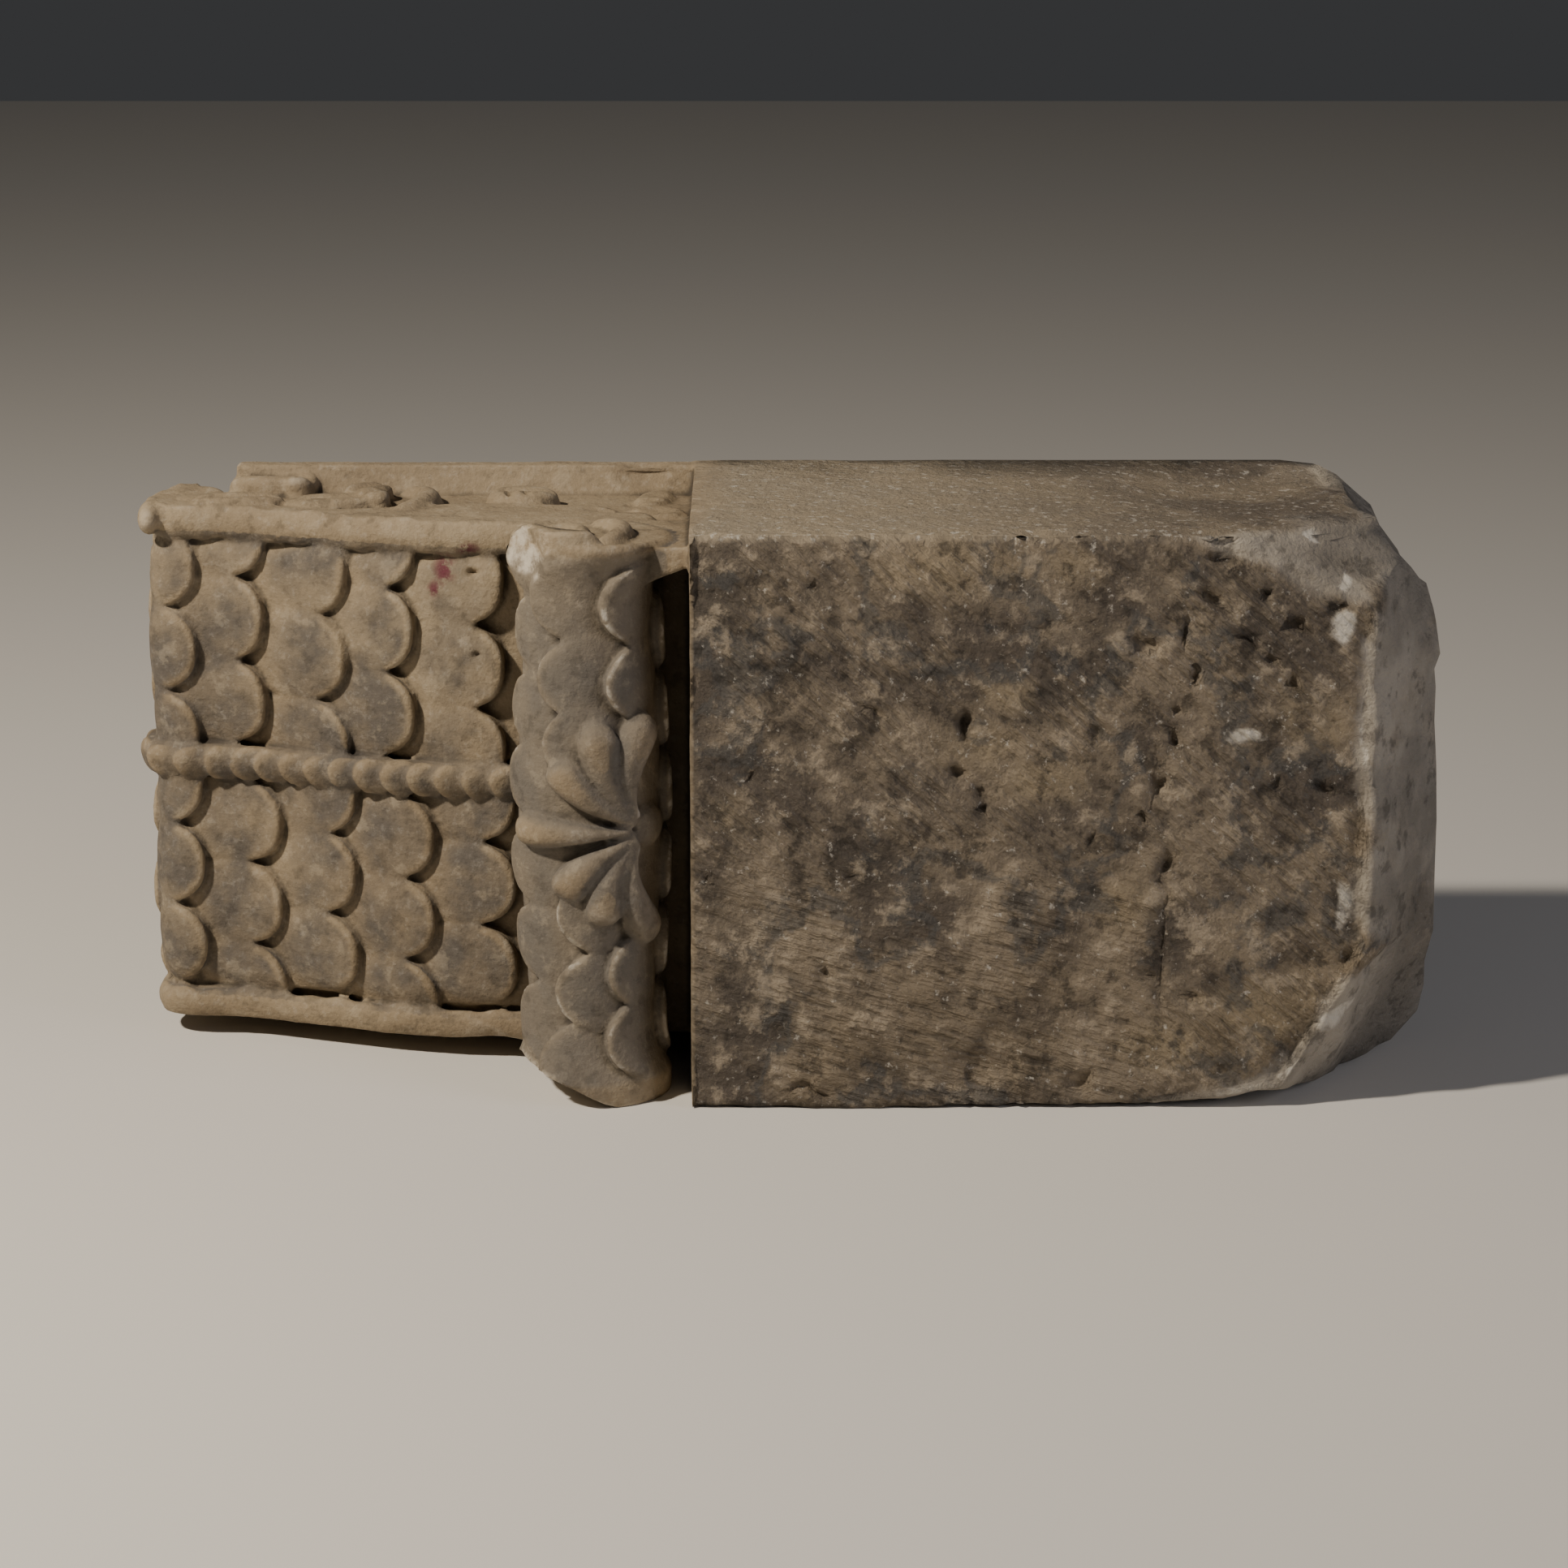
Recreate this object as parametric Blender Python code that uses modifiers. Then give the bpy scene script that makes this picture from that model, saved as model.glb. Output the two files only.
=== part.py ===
"""A broken Roman marble modillion, a carved bracket from under a cornice, lying on its side.

It is one block of marble, so it is one solid. Its carving is modelled as relief on the block:
a core cut to the S of a scroll, scales and a cable moulding wrapped on its soffit, a roll with
a palmette at the inner end, a leafy volute on each side, and a rough tail with a broken end.

The block is laid out in its own coordinates: x runs from the nose to the broken end, y from
the soffit to the bedding face, and z across the width, with zero at the middle.
"""

import math

import bmesh
import bpy
from mathutils import Matrix, Vector, noise
from mathutils.geometry import interpolate_bezier

# Overall sizes in metres
LENGTH = 0.664
HEIGHT = 0.186
TAIL_WIDTH = 0.294
SIDE_STEP = 0.011
SCROLL_LENGTH = 0.286

# The scroll in side view
NOSE_THICKNESS = 0.068
NOSE_LENGTH = 0.030
SLAB_THICKNESS = 0.012
SLAB_SETBACK = 0.048
SLAB_STEP = 0.0006
CYMA_HEIGHT = 0.011
SIDE_RECESS = 0.004
BAND_NARROW = 0.015
BAND_WIDE = 0.050

# The soffit between its two edge bands
EDGE_BAND = 0.011
FIELD_RECESS = 0.006
ROWS_PER_HALF = 2.5
SCALE_LENGTH = 0.0415
SCALE_RISE = 0.0050
SCALE_DOME = 0.0020
ROPE_DIAMETER = 0.0185
STRAND_PITCH = 0.0142
STRAND_SLANT = math.radians(52)

# The roll, its palmette and the groove behind it
ROLL_RADIUS = 0.0345
ROLL_WAIST = 0.0040
ROLL_FLARE = 0.0085
FLARE_LENGTH = 0.028
GROOVE_WIDTH = 0.0150
GROOVE_DEPTH = 0.078
WEB_THICKNESS = 0.012
LOBE_COUNT = 7
LOBE_LENGTH = 0.054
LOBE_WIDTH = 0.017
LOBE_RISE = 0.0065
LOBE_STEP = math.radians(32)
ROLL_ROW = 0.0385

# The leafy volute and the bud on each side
LEAF_RISE = 0.010
BUD_RADIUS = 0.012
EYE_RADIUS = 0.008

# How far a carved piece is sunk into the block that carries it
SINK = 0.004

# Carved pieces are fused on a grid this fine, then thinned to this many triangles
FUSE_GRID = 0.0018
CARVED_TRIANGLES = 8200

# How far back from its end the tail is broken
BREAK_REACH = 0.19

SCROLL_WIDTH = TAIL_WIDTH - 2 * SIDE_STEP
TAIL_START = SCROLL_LENGTH
ROLL_X = TAIL_START - GROOVE_WIDTH - ROLL_RADIUS
ROLL_Y = ROLL_RADIUS + 0.6 * LOBE_RISE
SOFFIT_AT_ROLL = ROLL_Y + ROLL_RADIUS + 0.001
NOSE_X = NOSE_LENGTH + SCALE_RISE
HALF_TAIL = TAIL_WIDTH / 2
HALF_SCROLL = SCROLL_WIDTH / 2
HALF_FIELD = HALF_SCROLL - EDGE_BAND
HALF_CORE = HALF_SCROLL - SIDE_RECESS
NOSE_TOP = HEIGHT - SLAB_STEP - 0.25 * SLAB_THICKNESS
MARBLE = (0.41, 0.36, 0.29, 1.0)


def clear_scene():
    for old in list(bpy.data.objects):
        bpy.data.objects.remove(old, do_unlink=True)


def collection(name):
    made = bpy.data.collections.new(name)
    bpy.context.scene.collection.children.link(made)
    return made


def smoothstep(t):
    t = min(1.0, max(0.0, t))
    return t * t * (3 - 2 * t)


def carved_path(steps):
    """The carved line in side view, from the roll along the soffit and round the nose."""
    start = Vector((ROLL_X - 0.15 * ROLL_RADIUS, SOFFIT_AT_ROLL))
    end = Vector((NOSE_X, HEIGHT - NOSE_THICKNESS))
    run = start.x - end.x
    near_roll = Vector((start.x - 0.56 * run, start.y))
    near_nose = Vector((end.x + 0.19 * run, end.y))
    path = interpolate_bezier(start, near_roll, near_nose, end, steps + 1)
    rise = (NOSE_TOP - end.y) / 2
    for step in range(1, steps + 1):
        turn = math.pi * step / steps
        x = NOSE_X - NOSE_LENGTH * math.sin(turn)
        path.append(Vector((x, end.y + rise - rise * math.cos(turn))))
    return [Vector(point[:2]) for point in path]


FINE_PATH = carved_path(80)
FINE_LENGTHS = [0.0]
for first, second in zip(FINE_PATH, FINE_PATH[1:]):
    FINE_LENGTHS.append(FINE_LENGTHS[-1] + (second - first).length)
PATH_LENGTH = FINE_LENGTHS[-1]


def on_path(along):
    """Point and outward normal at a distance along the carved line, which starts at the roll."""
    along = min(max(along, 0.0), PATH_LENGTH)
    place = 1
    while FINE_LENGTHS[place] < along:
        place += 1
    a, b = FINE_PATH[place - 1], FINE_PATH[place]
    share = (along - FINE_LENGTHS[place - 1]) / (b - a).length
    tangent = (b - a).normalized()
    return a.lerp(b, share), Vector((-tangent.y, tangent.x))


def on_soffit(along, across, out):
    """A point over the soffit's sunk field, which bulges a little on each side of the rope."""
    across = max(-HALF_FIELD - 0.002, min(HALF_FIELD + 0.002, across))
    point, normal = on_path(min(along, 0.93 * PATH_LENGTH))
    bulge = math.sin(math.pi * min(1.0, abs(across) / HALF_FIELD))
    place = point + normal * (out - FIELD_RECESS * (1 - 0.5 * bulge))
    return Vector((place.x, place.y, across))


def roll_radius(z):
    """The roll swells at the middle, narrows to two waists and flares at its ends."""
    shaft = HALF_SCROLL - FLARE_LENGTH
    waist = ROLL_WAIST * smoothstep(abs(z) / shaft)
    flare = ROLL_FLARE * min(1.0, max(0.0, (abs(z) - shaft) / FLARE_LENGTH)) ** 2
    return ROLL_RADIUS - waist + flare


def on_roll(around, across, out):
    """A point over the roll. Around is measured from its near line, towards the nose."""
    turn = around / ROLL_RADIUS
    radius = roll_radius(across) + out
    return Vector((ROLL_X - radius * math.sin(turn), ROLL_Y - radius * math.cos(turn), across))


def add_object(name, bm, home):
    """Turn a bmesh into an object of a collection."""
    bmesh.ops.recalc_face_normals(bm, faces=bm.faces)
    mesh = bpy.data.meshes.new(name)
    bm.to_mesh(mesh)
    bm.free()
    made = bpy.data.objects.new(name, mesh)
    home.objects.link(made)
    return made


def box(name, low, high, home):
    bm = bmesh.new()
    bmesh.ops.create_cube(bm, size=1.0)
    for v in bm.verts:
        v.co = [a + (b - a) * (c + 0.5) for a, b, c in zip(low, high, v.co)]
    return add_object(name, bm, home)


def plate(name, outline, z_low, z_high, home):
    """A flat outline in the side view, given thickness across the width."""
    curve = bpy.data.curves.new(name, "CURVE")
    curve.dimensions = "2D"
    curve.fill_mode = "BOTH"
    curve.extrude = (z_high - z_low) / 2
    spline = curve.splines.new("POLY")
    spline.points.add(len(outline) - 1)
    for point, corner in zip(spline.points, outline):
        point.co = (corner[0], corner[1], 0.0, 1.0)
    spline.use_cyclic_u = True
    guide = bpy.data.objects.new(name + "_outline", curve)
    home.objects.link(guide)
    bpy.context.view_layer.update()
    mesh = bpy.data.meshes.new_from_object(guide.evaluated_get(bpy.context.evaluated_depsgraph_get()))
    bpy.data.objects.remove(guide, do_unlink=True)
    bm = bmesh.new()
    bm.from_mesh(mesh)
    bmesh.ops.remove_doubles(bm, verts=bm.verts, dist=0.00002)
    bmesh.ops.dissolve_limit(bm, angle_limit=0.001, verts=bm.verts, edges=bm.edges)
    bmesh.ops.translate(bm, verts=bm.verts, vec=(0.0, 0.0, (z_low + z_high) / 2))
    return add_object(name, bm, home)


def pebble(name, place, home, segments=8, rings=5):
    """A closed ball whose points are moved by a function of their place on the unit sphere."""
    bm = bmesh.new()
    bmesh.ops.create_uvsphere(bm, u_segments=segments, v_segments=rings, radius=1.0)
    for v in bm.verts:
        v.co = place(*v.co)
    return add_object(name, bm, home)


def make_core(home):
    """The scroll between its edge bands, cut back for the scales, with a neck to the roll."""
    steps = 22
    outline = []
    for step in range(steps + 1):
        point, normal = on_path(PATH_LENGTH * step / steps)
        outline.append(point - normal * FIELD_RECESS)
    behind = TAIL_START + 2 * SINK
    outline += [(behind, NOSE_TOP), (behind, GROOVE_DEPTH), (ROLL_X + ROLL_RADIUS, GROOVE_DEPTH)]
    outline += [(ROLL_X + 0.4 * ROLL_RADIUS, 1.5 * ROLL_RADIUS)]
    outline += [(ROLL_X - 0.3 * ROLL_RADIUS, 1.5 * ROLL_RADIUS)]
    return plate("core", outline, -HALF_CORE, HALF_CORE, home)


def band_width(along):
    """The side band is broad beside the roll and narrow beside the nose."""
    return BAND_WIDE + (BAND_NARROW - BAND_WIDE) * smoothstep(along / PATH_LENGTH * 3 - 0.55)


def make_side_bands(home):
    """The smooth S-shaped band on each side, whose edge stands proud of the scales."""
    steps = 20
    outer = []
    inner = []
    for step in range(steps + 1):
        along = 0.97 * PATH_LENGTH * step / steps
        point, normal = on_path(along)
        outer.append(point)
        inner.append(point - normal * band_width(along))
    start = outer[0]
    turn = [math.radians(angle) for angle in (0, 30, 60)]
    reach = ROLL_RADIUS + 0.3 * GROOVE_WIDTH
    end = [(start.x + reach * math.cos(a), start.y + BAND_WIDE * math.sin(a)) for a in turn]
    outline = outer + inner[::-1] + end[::-1]
    plate("band_upper", outline, HALF_FIELD, HALF_SCROLL, home)
    plate("band_lower", outline, -HALF_SCROLL, -HALF_FIELD, home)


def make_slab(home):
    """The thin slab along the bedding face."""
    half = HALF_TAIL - SLAB_STEP
    low = (SLAB_SETBACK, HEIGHT - SLAB_THICKNESS, -half)
    box("slab", low, (TAIL_START + SINK, HEIGHT - SLAB_STEP, half), home)


def make_cyma(home):
    """The sloped moulding under the edges of the slab."""
    under = HEIGHT - SLAB_THICKNESS
    half = HALF_TAIL - SLAB_STEP
    low = (SLAB_SETBACK + SINK, under - CYMA_HEIGHT, -half)
    moulding = box("cyma", low, (TAIL_START + SINK, under + SINK, half), home)
    for v in moulding.data.vertices:
        inset = HALF_CORE - 0.5 * SINK if v.co.y < under else half - 0.6 * SINK
        v.co.z = math.copysign(inset, v.co.z)


def scale_leaf(name, surface, tip, heading, across, size, lift, home, side=0):
    """One overlapping scale, a domed disc that is sunk at its root and proud at its tip."""
    length, width = size
    rise, dome = lift
    bm = bmesh.new()
    bmesh.ops.create_circle(bm, cap_ends=True, segments=12, radius=1.0)
    bmesh.ops.inset_region(bm, faces=bm.faces[:], thickness=0.30)
    top = set(bm.verts)
    bmesh.ops.extrude_face_region(bm, geom=bm.faces[:], use_keep_orig=True)
    reach = 1.45 * length
    for v in bm.verts:
        u, w = v.co.x, v.co.y
        back = (1 - u) * reach / 2
        height = rise * (1 - 1.1 * back / reach) + dome * (1 - u * u - w * w)
        if v not in top:
            height = -FIELD_RECESS - 0.5 * SINK
        z = across + w * width / 2
        if side:
            z = side * max(0.001, side * z)
        v.co = surface(tip + heading * back, z, height)
    return add_object(name, bm, home)


def make_soffit_scales(home):
    """Scales on both halves of the soffit, set half-drop and mirrored about the rope."""
    rope_half = ROPE_DIAMETER / 2
    row = (HALF_FIELD - rope_half) / ROWS_PER_HALF
    size = (SCALE_LENGTH, 1.04 * row)
    for column in range(1, int(PATH_LENGTH / SCALE_LENGTH) + 1):
        first = 0.0 if column % 2 else 0.5
        for place in range(math.ceil(ROWS_PER_HALF - first + 0.1)):
            across = rope_half + row * (first + place)
            for side, half in ((1, "upper"), (-1, "lower")):
                name = f"scale_{half}_{column}_{place}"
                tip = column * SCALE_LENGTH - 0.0015
                lift = (SCALE_RISE, SCALE_DOME)
                scale_leaf(name, on_soffit, tip, 1, side * across, size, lift, home, side)


def make_rope(home):
    """The cable moulding: slanted strands laid side by side along the middle of the soffit."""
    radius = ROPE_DIAMETER / 2
    sunk = FIELD_RECESS - radius + 0.3 * radius
    slant = Vector((-math.cos(STRAND_SLANT), math.sin(STRAND_SLANT)))
    count = int(0.93 * PATH_LENGTH / STRAND_PITCH)
    for strand in range(count + 1):
        middle = strand * STRAND_PITCH

        def place(u, w, h):
            long = u * 1.25 * radius
            wide = w * 0.44 * STRAND_PITCH
            along = middle + slant.x * long - slant.y * wide
            across = slant.y * long + slant.x * wide
            across = max(-radius, min(radius, across))
            return on_soffit(along, across, radius * h - sunk + 0.4 * radius)

        pebble(f"strand_{strand}", place, home)


def make_roll(home):
    """The turned roll, a profile spun about its own axis across the width."""
    low, high = -HALF_TAIL, HALF_SCROLL + 0.5 * SIDE_RECESS
    rings = 16
    bm = bmesh.new()
    profile = [Vector((0.0, 0.0, high))]
    for ring in range(rings + 1):
        z = high + (low - high) * ring / rings
        profile.append(Vector((roll_radius(z), 0.0, z)))
    profile.append(Vector((0.0, 0.0, low)))
    points = [bm.verts.new(point) for point in profile]
    for above, below in zip(points, points[1:]):
        bm.edges.new((above, below))
    roll = add_object("roll", bm, home)
    roll.location = (ROLL_X, ROLL_Y, 0.0)
    screw = roll.modifiers.new("turn", "SCREW")
    screw.steps = screw.render_steps = 22
    screw.use_merge_vertices = True
    screw.merge_threshold = 0.00005
    return roll


def make_roll_scales(home):
    """Scales on the roll, pointing round it towards the nose, clear of the palmette."""
    pitch = 1.02 * ROLL_RADIUS
    row = ROLL_ROW
    size = (pitch * 1.05, row * 1.04)
    lift = (0.8 * SCALE_RISE, SCALE_DOME)
    for column in range(-1, 3):
        tip = 0.85 * ROLL_RADIUS + (column - 1) * pitch + 0.1 * pitch
        for place in range(4):
            across = row * (place - 0.05 + (0.5 if column % 2 == 0 else 0.0))
            if across < 0.9 * row and column < 2:
                continue
            if across > HALF_SCROLL - 0.35 * row:
                continue
            for side, half in ((1, "upper"), (-1, "lower")):
                name = f"roll_scale_{half}_{column + 1}_{place}"
                scale_leaf(name, on_roll, tip, -1, side * across, size, lift, home)


def make_palmette(home):
    """Seven lobes that fan out over the roll from a calyx beside the groove."""
    root = -0.75 * ROLL_RADIUS
    middle = (LOBE_COUNT - 1) / 2
    for lobe in range(LOBE_COUNT):
        turn = (lobe - middle) * LOBE_STEP
        length = LOBE_LENGTH * (1 - 0.02 * abs(lobe - middle))

        def place(u, w, h):
            share = (u + 1) / 2
            far = length * (0.12 + 0.88 * share)
            half = LOBE_WIDTH / 2 * (0.35 + 0.65 * smoothstep(1.4 * share))
            bend = 0.10 * length * math.sin(turn) * share * share
            around = root + far * math.cos(turn) - w * half * math.sin(turn) - abs(bend)
            across = far * math.sin(turn) + w * half * math.cos(turn)
            rise = LOBE_RISE * (0.45 + 0.55 * share)
            return on_roll(around, across, rise * h + 0.0010)

        pebble(f"lobe_{lobe}", place, home, segments=10, rings=7)

    def calyx(u, w, h):
        around = root + LOBE_WIDTH * (0.6 * u - 0.12)
        return on_roll(around, 0.94 * LOBE_WIDTH * w, 0.3 * LOBE_WIDTH * h)

    pebble("calyx", calyx, home)


def make_web(home):
    """The stone left across the upper end of the groove, between the roll and the tail."""
    top = HALF_SCROLL + 0.25 * SIDE_RECESS
    low = (ROLL_X, 0.35 * ROLL_RADIUS, top - WEB_THICKNESS)
    web = box("web", low, (TAIL_START + SINK, GROOVE_DEPTH + SINK, top), home)
    for v in web.data.vertices:
        if v.co.x > ROLL_X + SINK and v.co.y < ROLL_RADIUS:
            v.co.y = 0.3 * GROOVE_WIDTH


def dome(name, centre, half_sizes, turn, side, home):
    """A low rounded form on one side face, turned in the side view."""
    spin = Matrix.Rotation(turn, 2)
    base = HALF_CORE

    def place(u, w, h):
        flat = spin @ Vector((u * half_sizes[0], w * half_sizes[1]))
        out = h * half_sizes[2]
        return Vector((centre[0] + flat.x, centre[1] + flat.y, side * (base + out)))

    return pebble(name, place, home, segments=12, rings=7)


def make_side_leaves(home):
    """The leafy volute beside the nose: lobes round a hollow, then an outer crescent."""
    unit = NOSE_THICKNESS
    hollow = Vector((NOSE_LENGTH + 0.74 * unit, HEIGHT - 0.56 * unit))
    rise = LEAF_RISE
    lobes = (
        ("leaf_front", -0.38, -0.24, 0.41, 0.24, 12, rise),
        ("leaf_back", 0.32, -0.19, 0.35, 0.21, -6, rise),
        ("leaf_tip", 0.54, 0.06, 0.29, 0.18, 35, 0.9 * rise),
        ("leaf_top", -0.21, 0.21, 0.40, 0.13, -4, 1.3 * rise),
        ("leaf_nose", -0.82, -0.06, 0.25, 0.28, 60, rise),
        ("crescent", 0.94, -0.06, 0.12, 0.38, -18, 0.8 * rise),
    )
    for side, half in ((1, "upper"), (-1, "lower")):
        for name, x, y, length, width, degrees, height in lobes:
            centre = (hollow.x + x * unit, hollow.y + y * unit)
            size = (length * unit, width * unit, height)
            dome(f"{name}_{half}", centre, size, math.radians(degrees), side, home)
        bud = (ROLL_X - 1.1 * ROLL_RADIUS, HEIGHT - 0.7 * unit)
        dome(f"bud_{half}", bud, (BUD_RADIUS, 0.7 * BUD_RADIUS, 0.8 * rise), 0.0, side, home)
        foliage = (TAIL_START - 0.18 * unit, HEIGHT - 0.91 * unit)
        dome(f"foliage_{half}", foliage, (0.2 * unit, 0.5 * unit, 0.9 * rise), 0.2, side, home)


def make_roll_eye(home):
    """The eye and the outer turn of the small volute on the roll's upper end."""
    top = HALF_SCROLL + 0.5 * SIDE_RECESS
    centre = Vector((ROLL_X, ROLL_Y + 0.1 * ROLL_RADIUS))

    def eye(u, w, h):
        return Vector((centre.x + EYE_RADIUS * u, centre.y + EYE_RADIUS * w, top + 0.6 * EYE_RADIUS * h))

    pebble("eye", eye, home)
    middle, half_turn = math.radians(10), math.radians(70)

    def turn(u, w, h):
        angle = middle + half_turn * u
        radius = 0.68 * ROLL_RADIUS + 0.6 * EYE_RADIUS * w
        height = top + EYE_RADIUS * (0.6 * h - 0.12)
        x = ROLL_X + radius * math.cos(angle)
        return Vector((x, ROLL_Y + radius * math.sin(angle), height))

    pebble("outer_turn", turn, home, segments=8, rings=8)


def make_tail(home):
    """The rough block that was built into the wall, with its end broken off."""
    tail = box("tail", (TAIL_START, 0.0, -HALF_TAIL), (LENGTH, HEIGHT, HALF_TAIL), home)
    bm = bmesh.new()
    bm.from_mesh(tail.data)
    breaks = (
        (0.22, 0.0, 0.0, (0.83, -0.55, 0.0)),
        (0.005, 0.5, -0.25, (0.985, 0.10, 0.06)),
        (0.226, 0.5, 1.0, (0.73, 0.10, 0.68)),
        (0.263, 0.0, -0.52, (0.733, -0.543, -0.404)),
        (0.863, 0.0, -1.0, (0.12, -0.25, -0.96)),
        (0.705, 0.0, 1.0, (0.335, -0.689, 0.643)),
        (0.105, 1.0, -0.6, (0.70, 0.45, -0.55)),
    )
    for back, up, across, normal in breaks:
        point = (LENGTH - back * BREAK_REACH, up * HEIGHT, across * HALF_TAIL)
        geometry = bm.verts[:] + bm.edges[:] + bm.faces[:]
        bmesh.ops.bisect_plane(bm, geom=geometry, plane_co=point, plane_no=normal, clear_outer=True)
        bmesh.ops.holes_fill(bm, edges=[e for e in bm.edges if e.is_boundary])
    bmesh.ops.triangulate(bm, faces=bm.faces)
    broken = LENGTH - BREAK_REACH
    for size in (0.09, 0.045, 0.028):
        long = [e for e in bm.edges if e.calc_length() > size and max(v.co.x for v in e.verts) > broken]
        bmesh.ops.subdivide_edges(bm, edges=long, cuts=1)
        bmesh.ops.triangulate(bm, faces=bm.faces)
    for v in bm.verts:
        flat = v.co.z < -HALF_TAIL + 0.0005 or v.co.y > HEIGHT - 0.0005 or v.co.y < 0.0005
        if v.co.x > broken and not flat and v.co.z < HALF_TAIL - 0.0005:
            v.co.x += 0.006 * noise.noise(v.co * 40) - 0.002
            v.co.y += 0.004 * noise.noise(v.co * 40 + Vector((5.0, 0.0, 0.0)))
    bm.to_mesh(tail.data)
    bm.free()
    return tail


def marble():
    stone = bpy.data.materials.new("marble")
    stone.use_nodes = True
    shader = stone.node_tree.nodes["Principled BSDF"]
    shader.inputs["Base Color"].default_value = MARBLE
    shader.inputs["Roughness"].default_value = 0.85
    shader.inputs["Metallic"].default_value = 0.0
    return stone


def evaluated_copy(piece):
    """The piece as its modifiers leave it, as a bmesh in the block's coordinates."""
    bpy.context.view_layer.update()
    mesh = bpy.data.meshes.new_from_object(piece.evaluated_get(bpy.context.evaluated_depsgraph_get()))
    mesh.transform(piece.matrix_world)
    bm = bmesh.new()
    bm.from_mesh(mesh)
    return bm


def outer_skin(bm):
    """Drop every inner shell, so that no pocket is left sealed between carved pieces."""
    waiting = set(bm.faces)
    shells = []
    while waiting:
        edge_of_search = [waiting.pop()]
        shell = []
        while edge_of_search:
            face = edge_of_search.pop()
            shell.append(face)
            near = {other for edge in face.edges for other in edge.link_faces} & waiting
            waiting -= near
            edge_of_search += near
        shells.append(shell)
    shells.sort(key=len)
    inner = [face for shell in shells[:-1] for face in shell]
    bmesh.ops.delete(bm, geom=inner, context="FACES")


def fuse(carving, home):
    """Fuse the carved pieces into one skin, as one piece of marble, and thin its facets."""
    together = bmesh.new()
    for piece in list(carving.objects):
        copy = evaluated_copy(piece)
        mesh = bpy.data.meshes.new("piece")
        copy.to_mesh(mesh)
        copy.free()
        together.from_mesh(mesh)
    scroll = add_object("modillion", together, home)
    remesh = scroll.modifiers.new("fuse", "REMESH")
    remesh.mode = "VOXEL"
    remesh.voxel_size = FUSE_GRID
    skin = evaluated_copy(scroll)
    outer_skin(skin)
    bmesh.ops.triangulate(skin, faces=skin.faces)
    share = CARVED_TRIANGLES / len(skin.faces)
    scroll.modifiers.remove(remesh)
    skin.to_mesh(scroll.data)
    skin.free()
    thin = scroll.modifiers.new("facets", "DECIMATE")
    thin.ratio = min(1.0, share)
    return scroll


def join(scroll, plain):
    """Join the plain squared stone to the carved scroll, which are one block."""
    for piece in plain.objects:
        union = scroll.modifiers.new(piece.name, "BOOLEAN")
        union.operation = "UNION"
        union.solver = "EXACT"
        union.object = piece


def stand(block, guides):
    """Put the middle of the underside of the finished block at the origin."""
    bpy.context.view_layer.update()
    shaped = block.evaluated_get(bpy.context.evaluated_depsgraph_get())
    corners = [Vector(corner) for corner in shaped.bound_box]
    low = [min(corner[axis] for corner in corners) for axis in range(3)]
    high = [max(corner[axis] for corner in corners) for axis in range(3)]
    rest = bpy.data.objects.new("resting_place", None)
    bpy.context.scene.collection.objects.link(rest)
    for piece in (block, *guides):
        piece.parent = rest
    rest.location = (-(low[0] + high[0]) / 2, -(low[1] + high[1]) / 2, -low[2])


def build():
    clear_scene()
    part = collection("marble_modillion")
    carving = collection("carving")
    plain = collection("plain_stone")
    make_core(carving)
    make_side_bands(carving)
    make_soffit_scales(carving)
    make_rope(carving)
    make_roll(carving)
    make_roll_scales(carving)
    make_palmette(carving)
    make_web(carving)
    make_side_leaves(carving)
    make_roll_eye(carving)
    make_cyma(carving)
    make_slab(plain)
    make_tail(plain)
    block = fuse(carving, part)
    block.data.materials.append(marble())
    join(block, plain)
    guides = [*carving.objects, *plain.objects]
    for guide in guides:
        guide.hide_render = True
        guide.display_type = "WIRE"
    stand(block, guides)


build()
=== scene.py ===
# %% [markdown]
# # A broken marble modillion
# A modillion is a scroll bracket that stood under the cornice of a Roman building. This one lies
# on one side: the carved scroll is at the left, and the rough tail that was walled in is at the
# right, with its end broken off. It is one block of marble, so it becomes one mesh here. The
# carving is laid out flat, wrapped on the block, fused, and then worn as time wore it.

# %% The CAD frame and the tools
import math
import time

import bmesh
import bpy
import numpy as np
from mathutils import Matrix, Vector
from mathutils.geometry import interpolate_bezier


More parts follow.
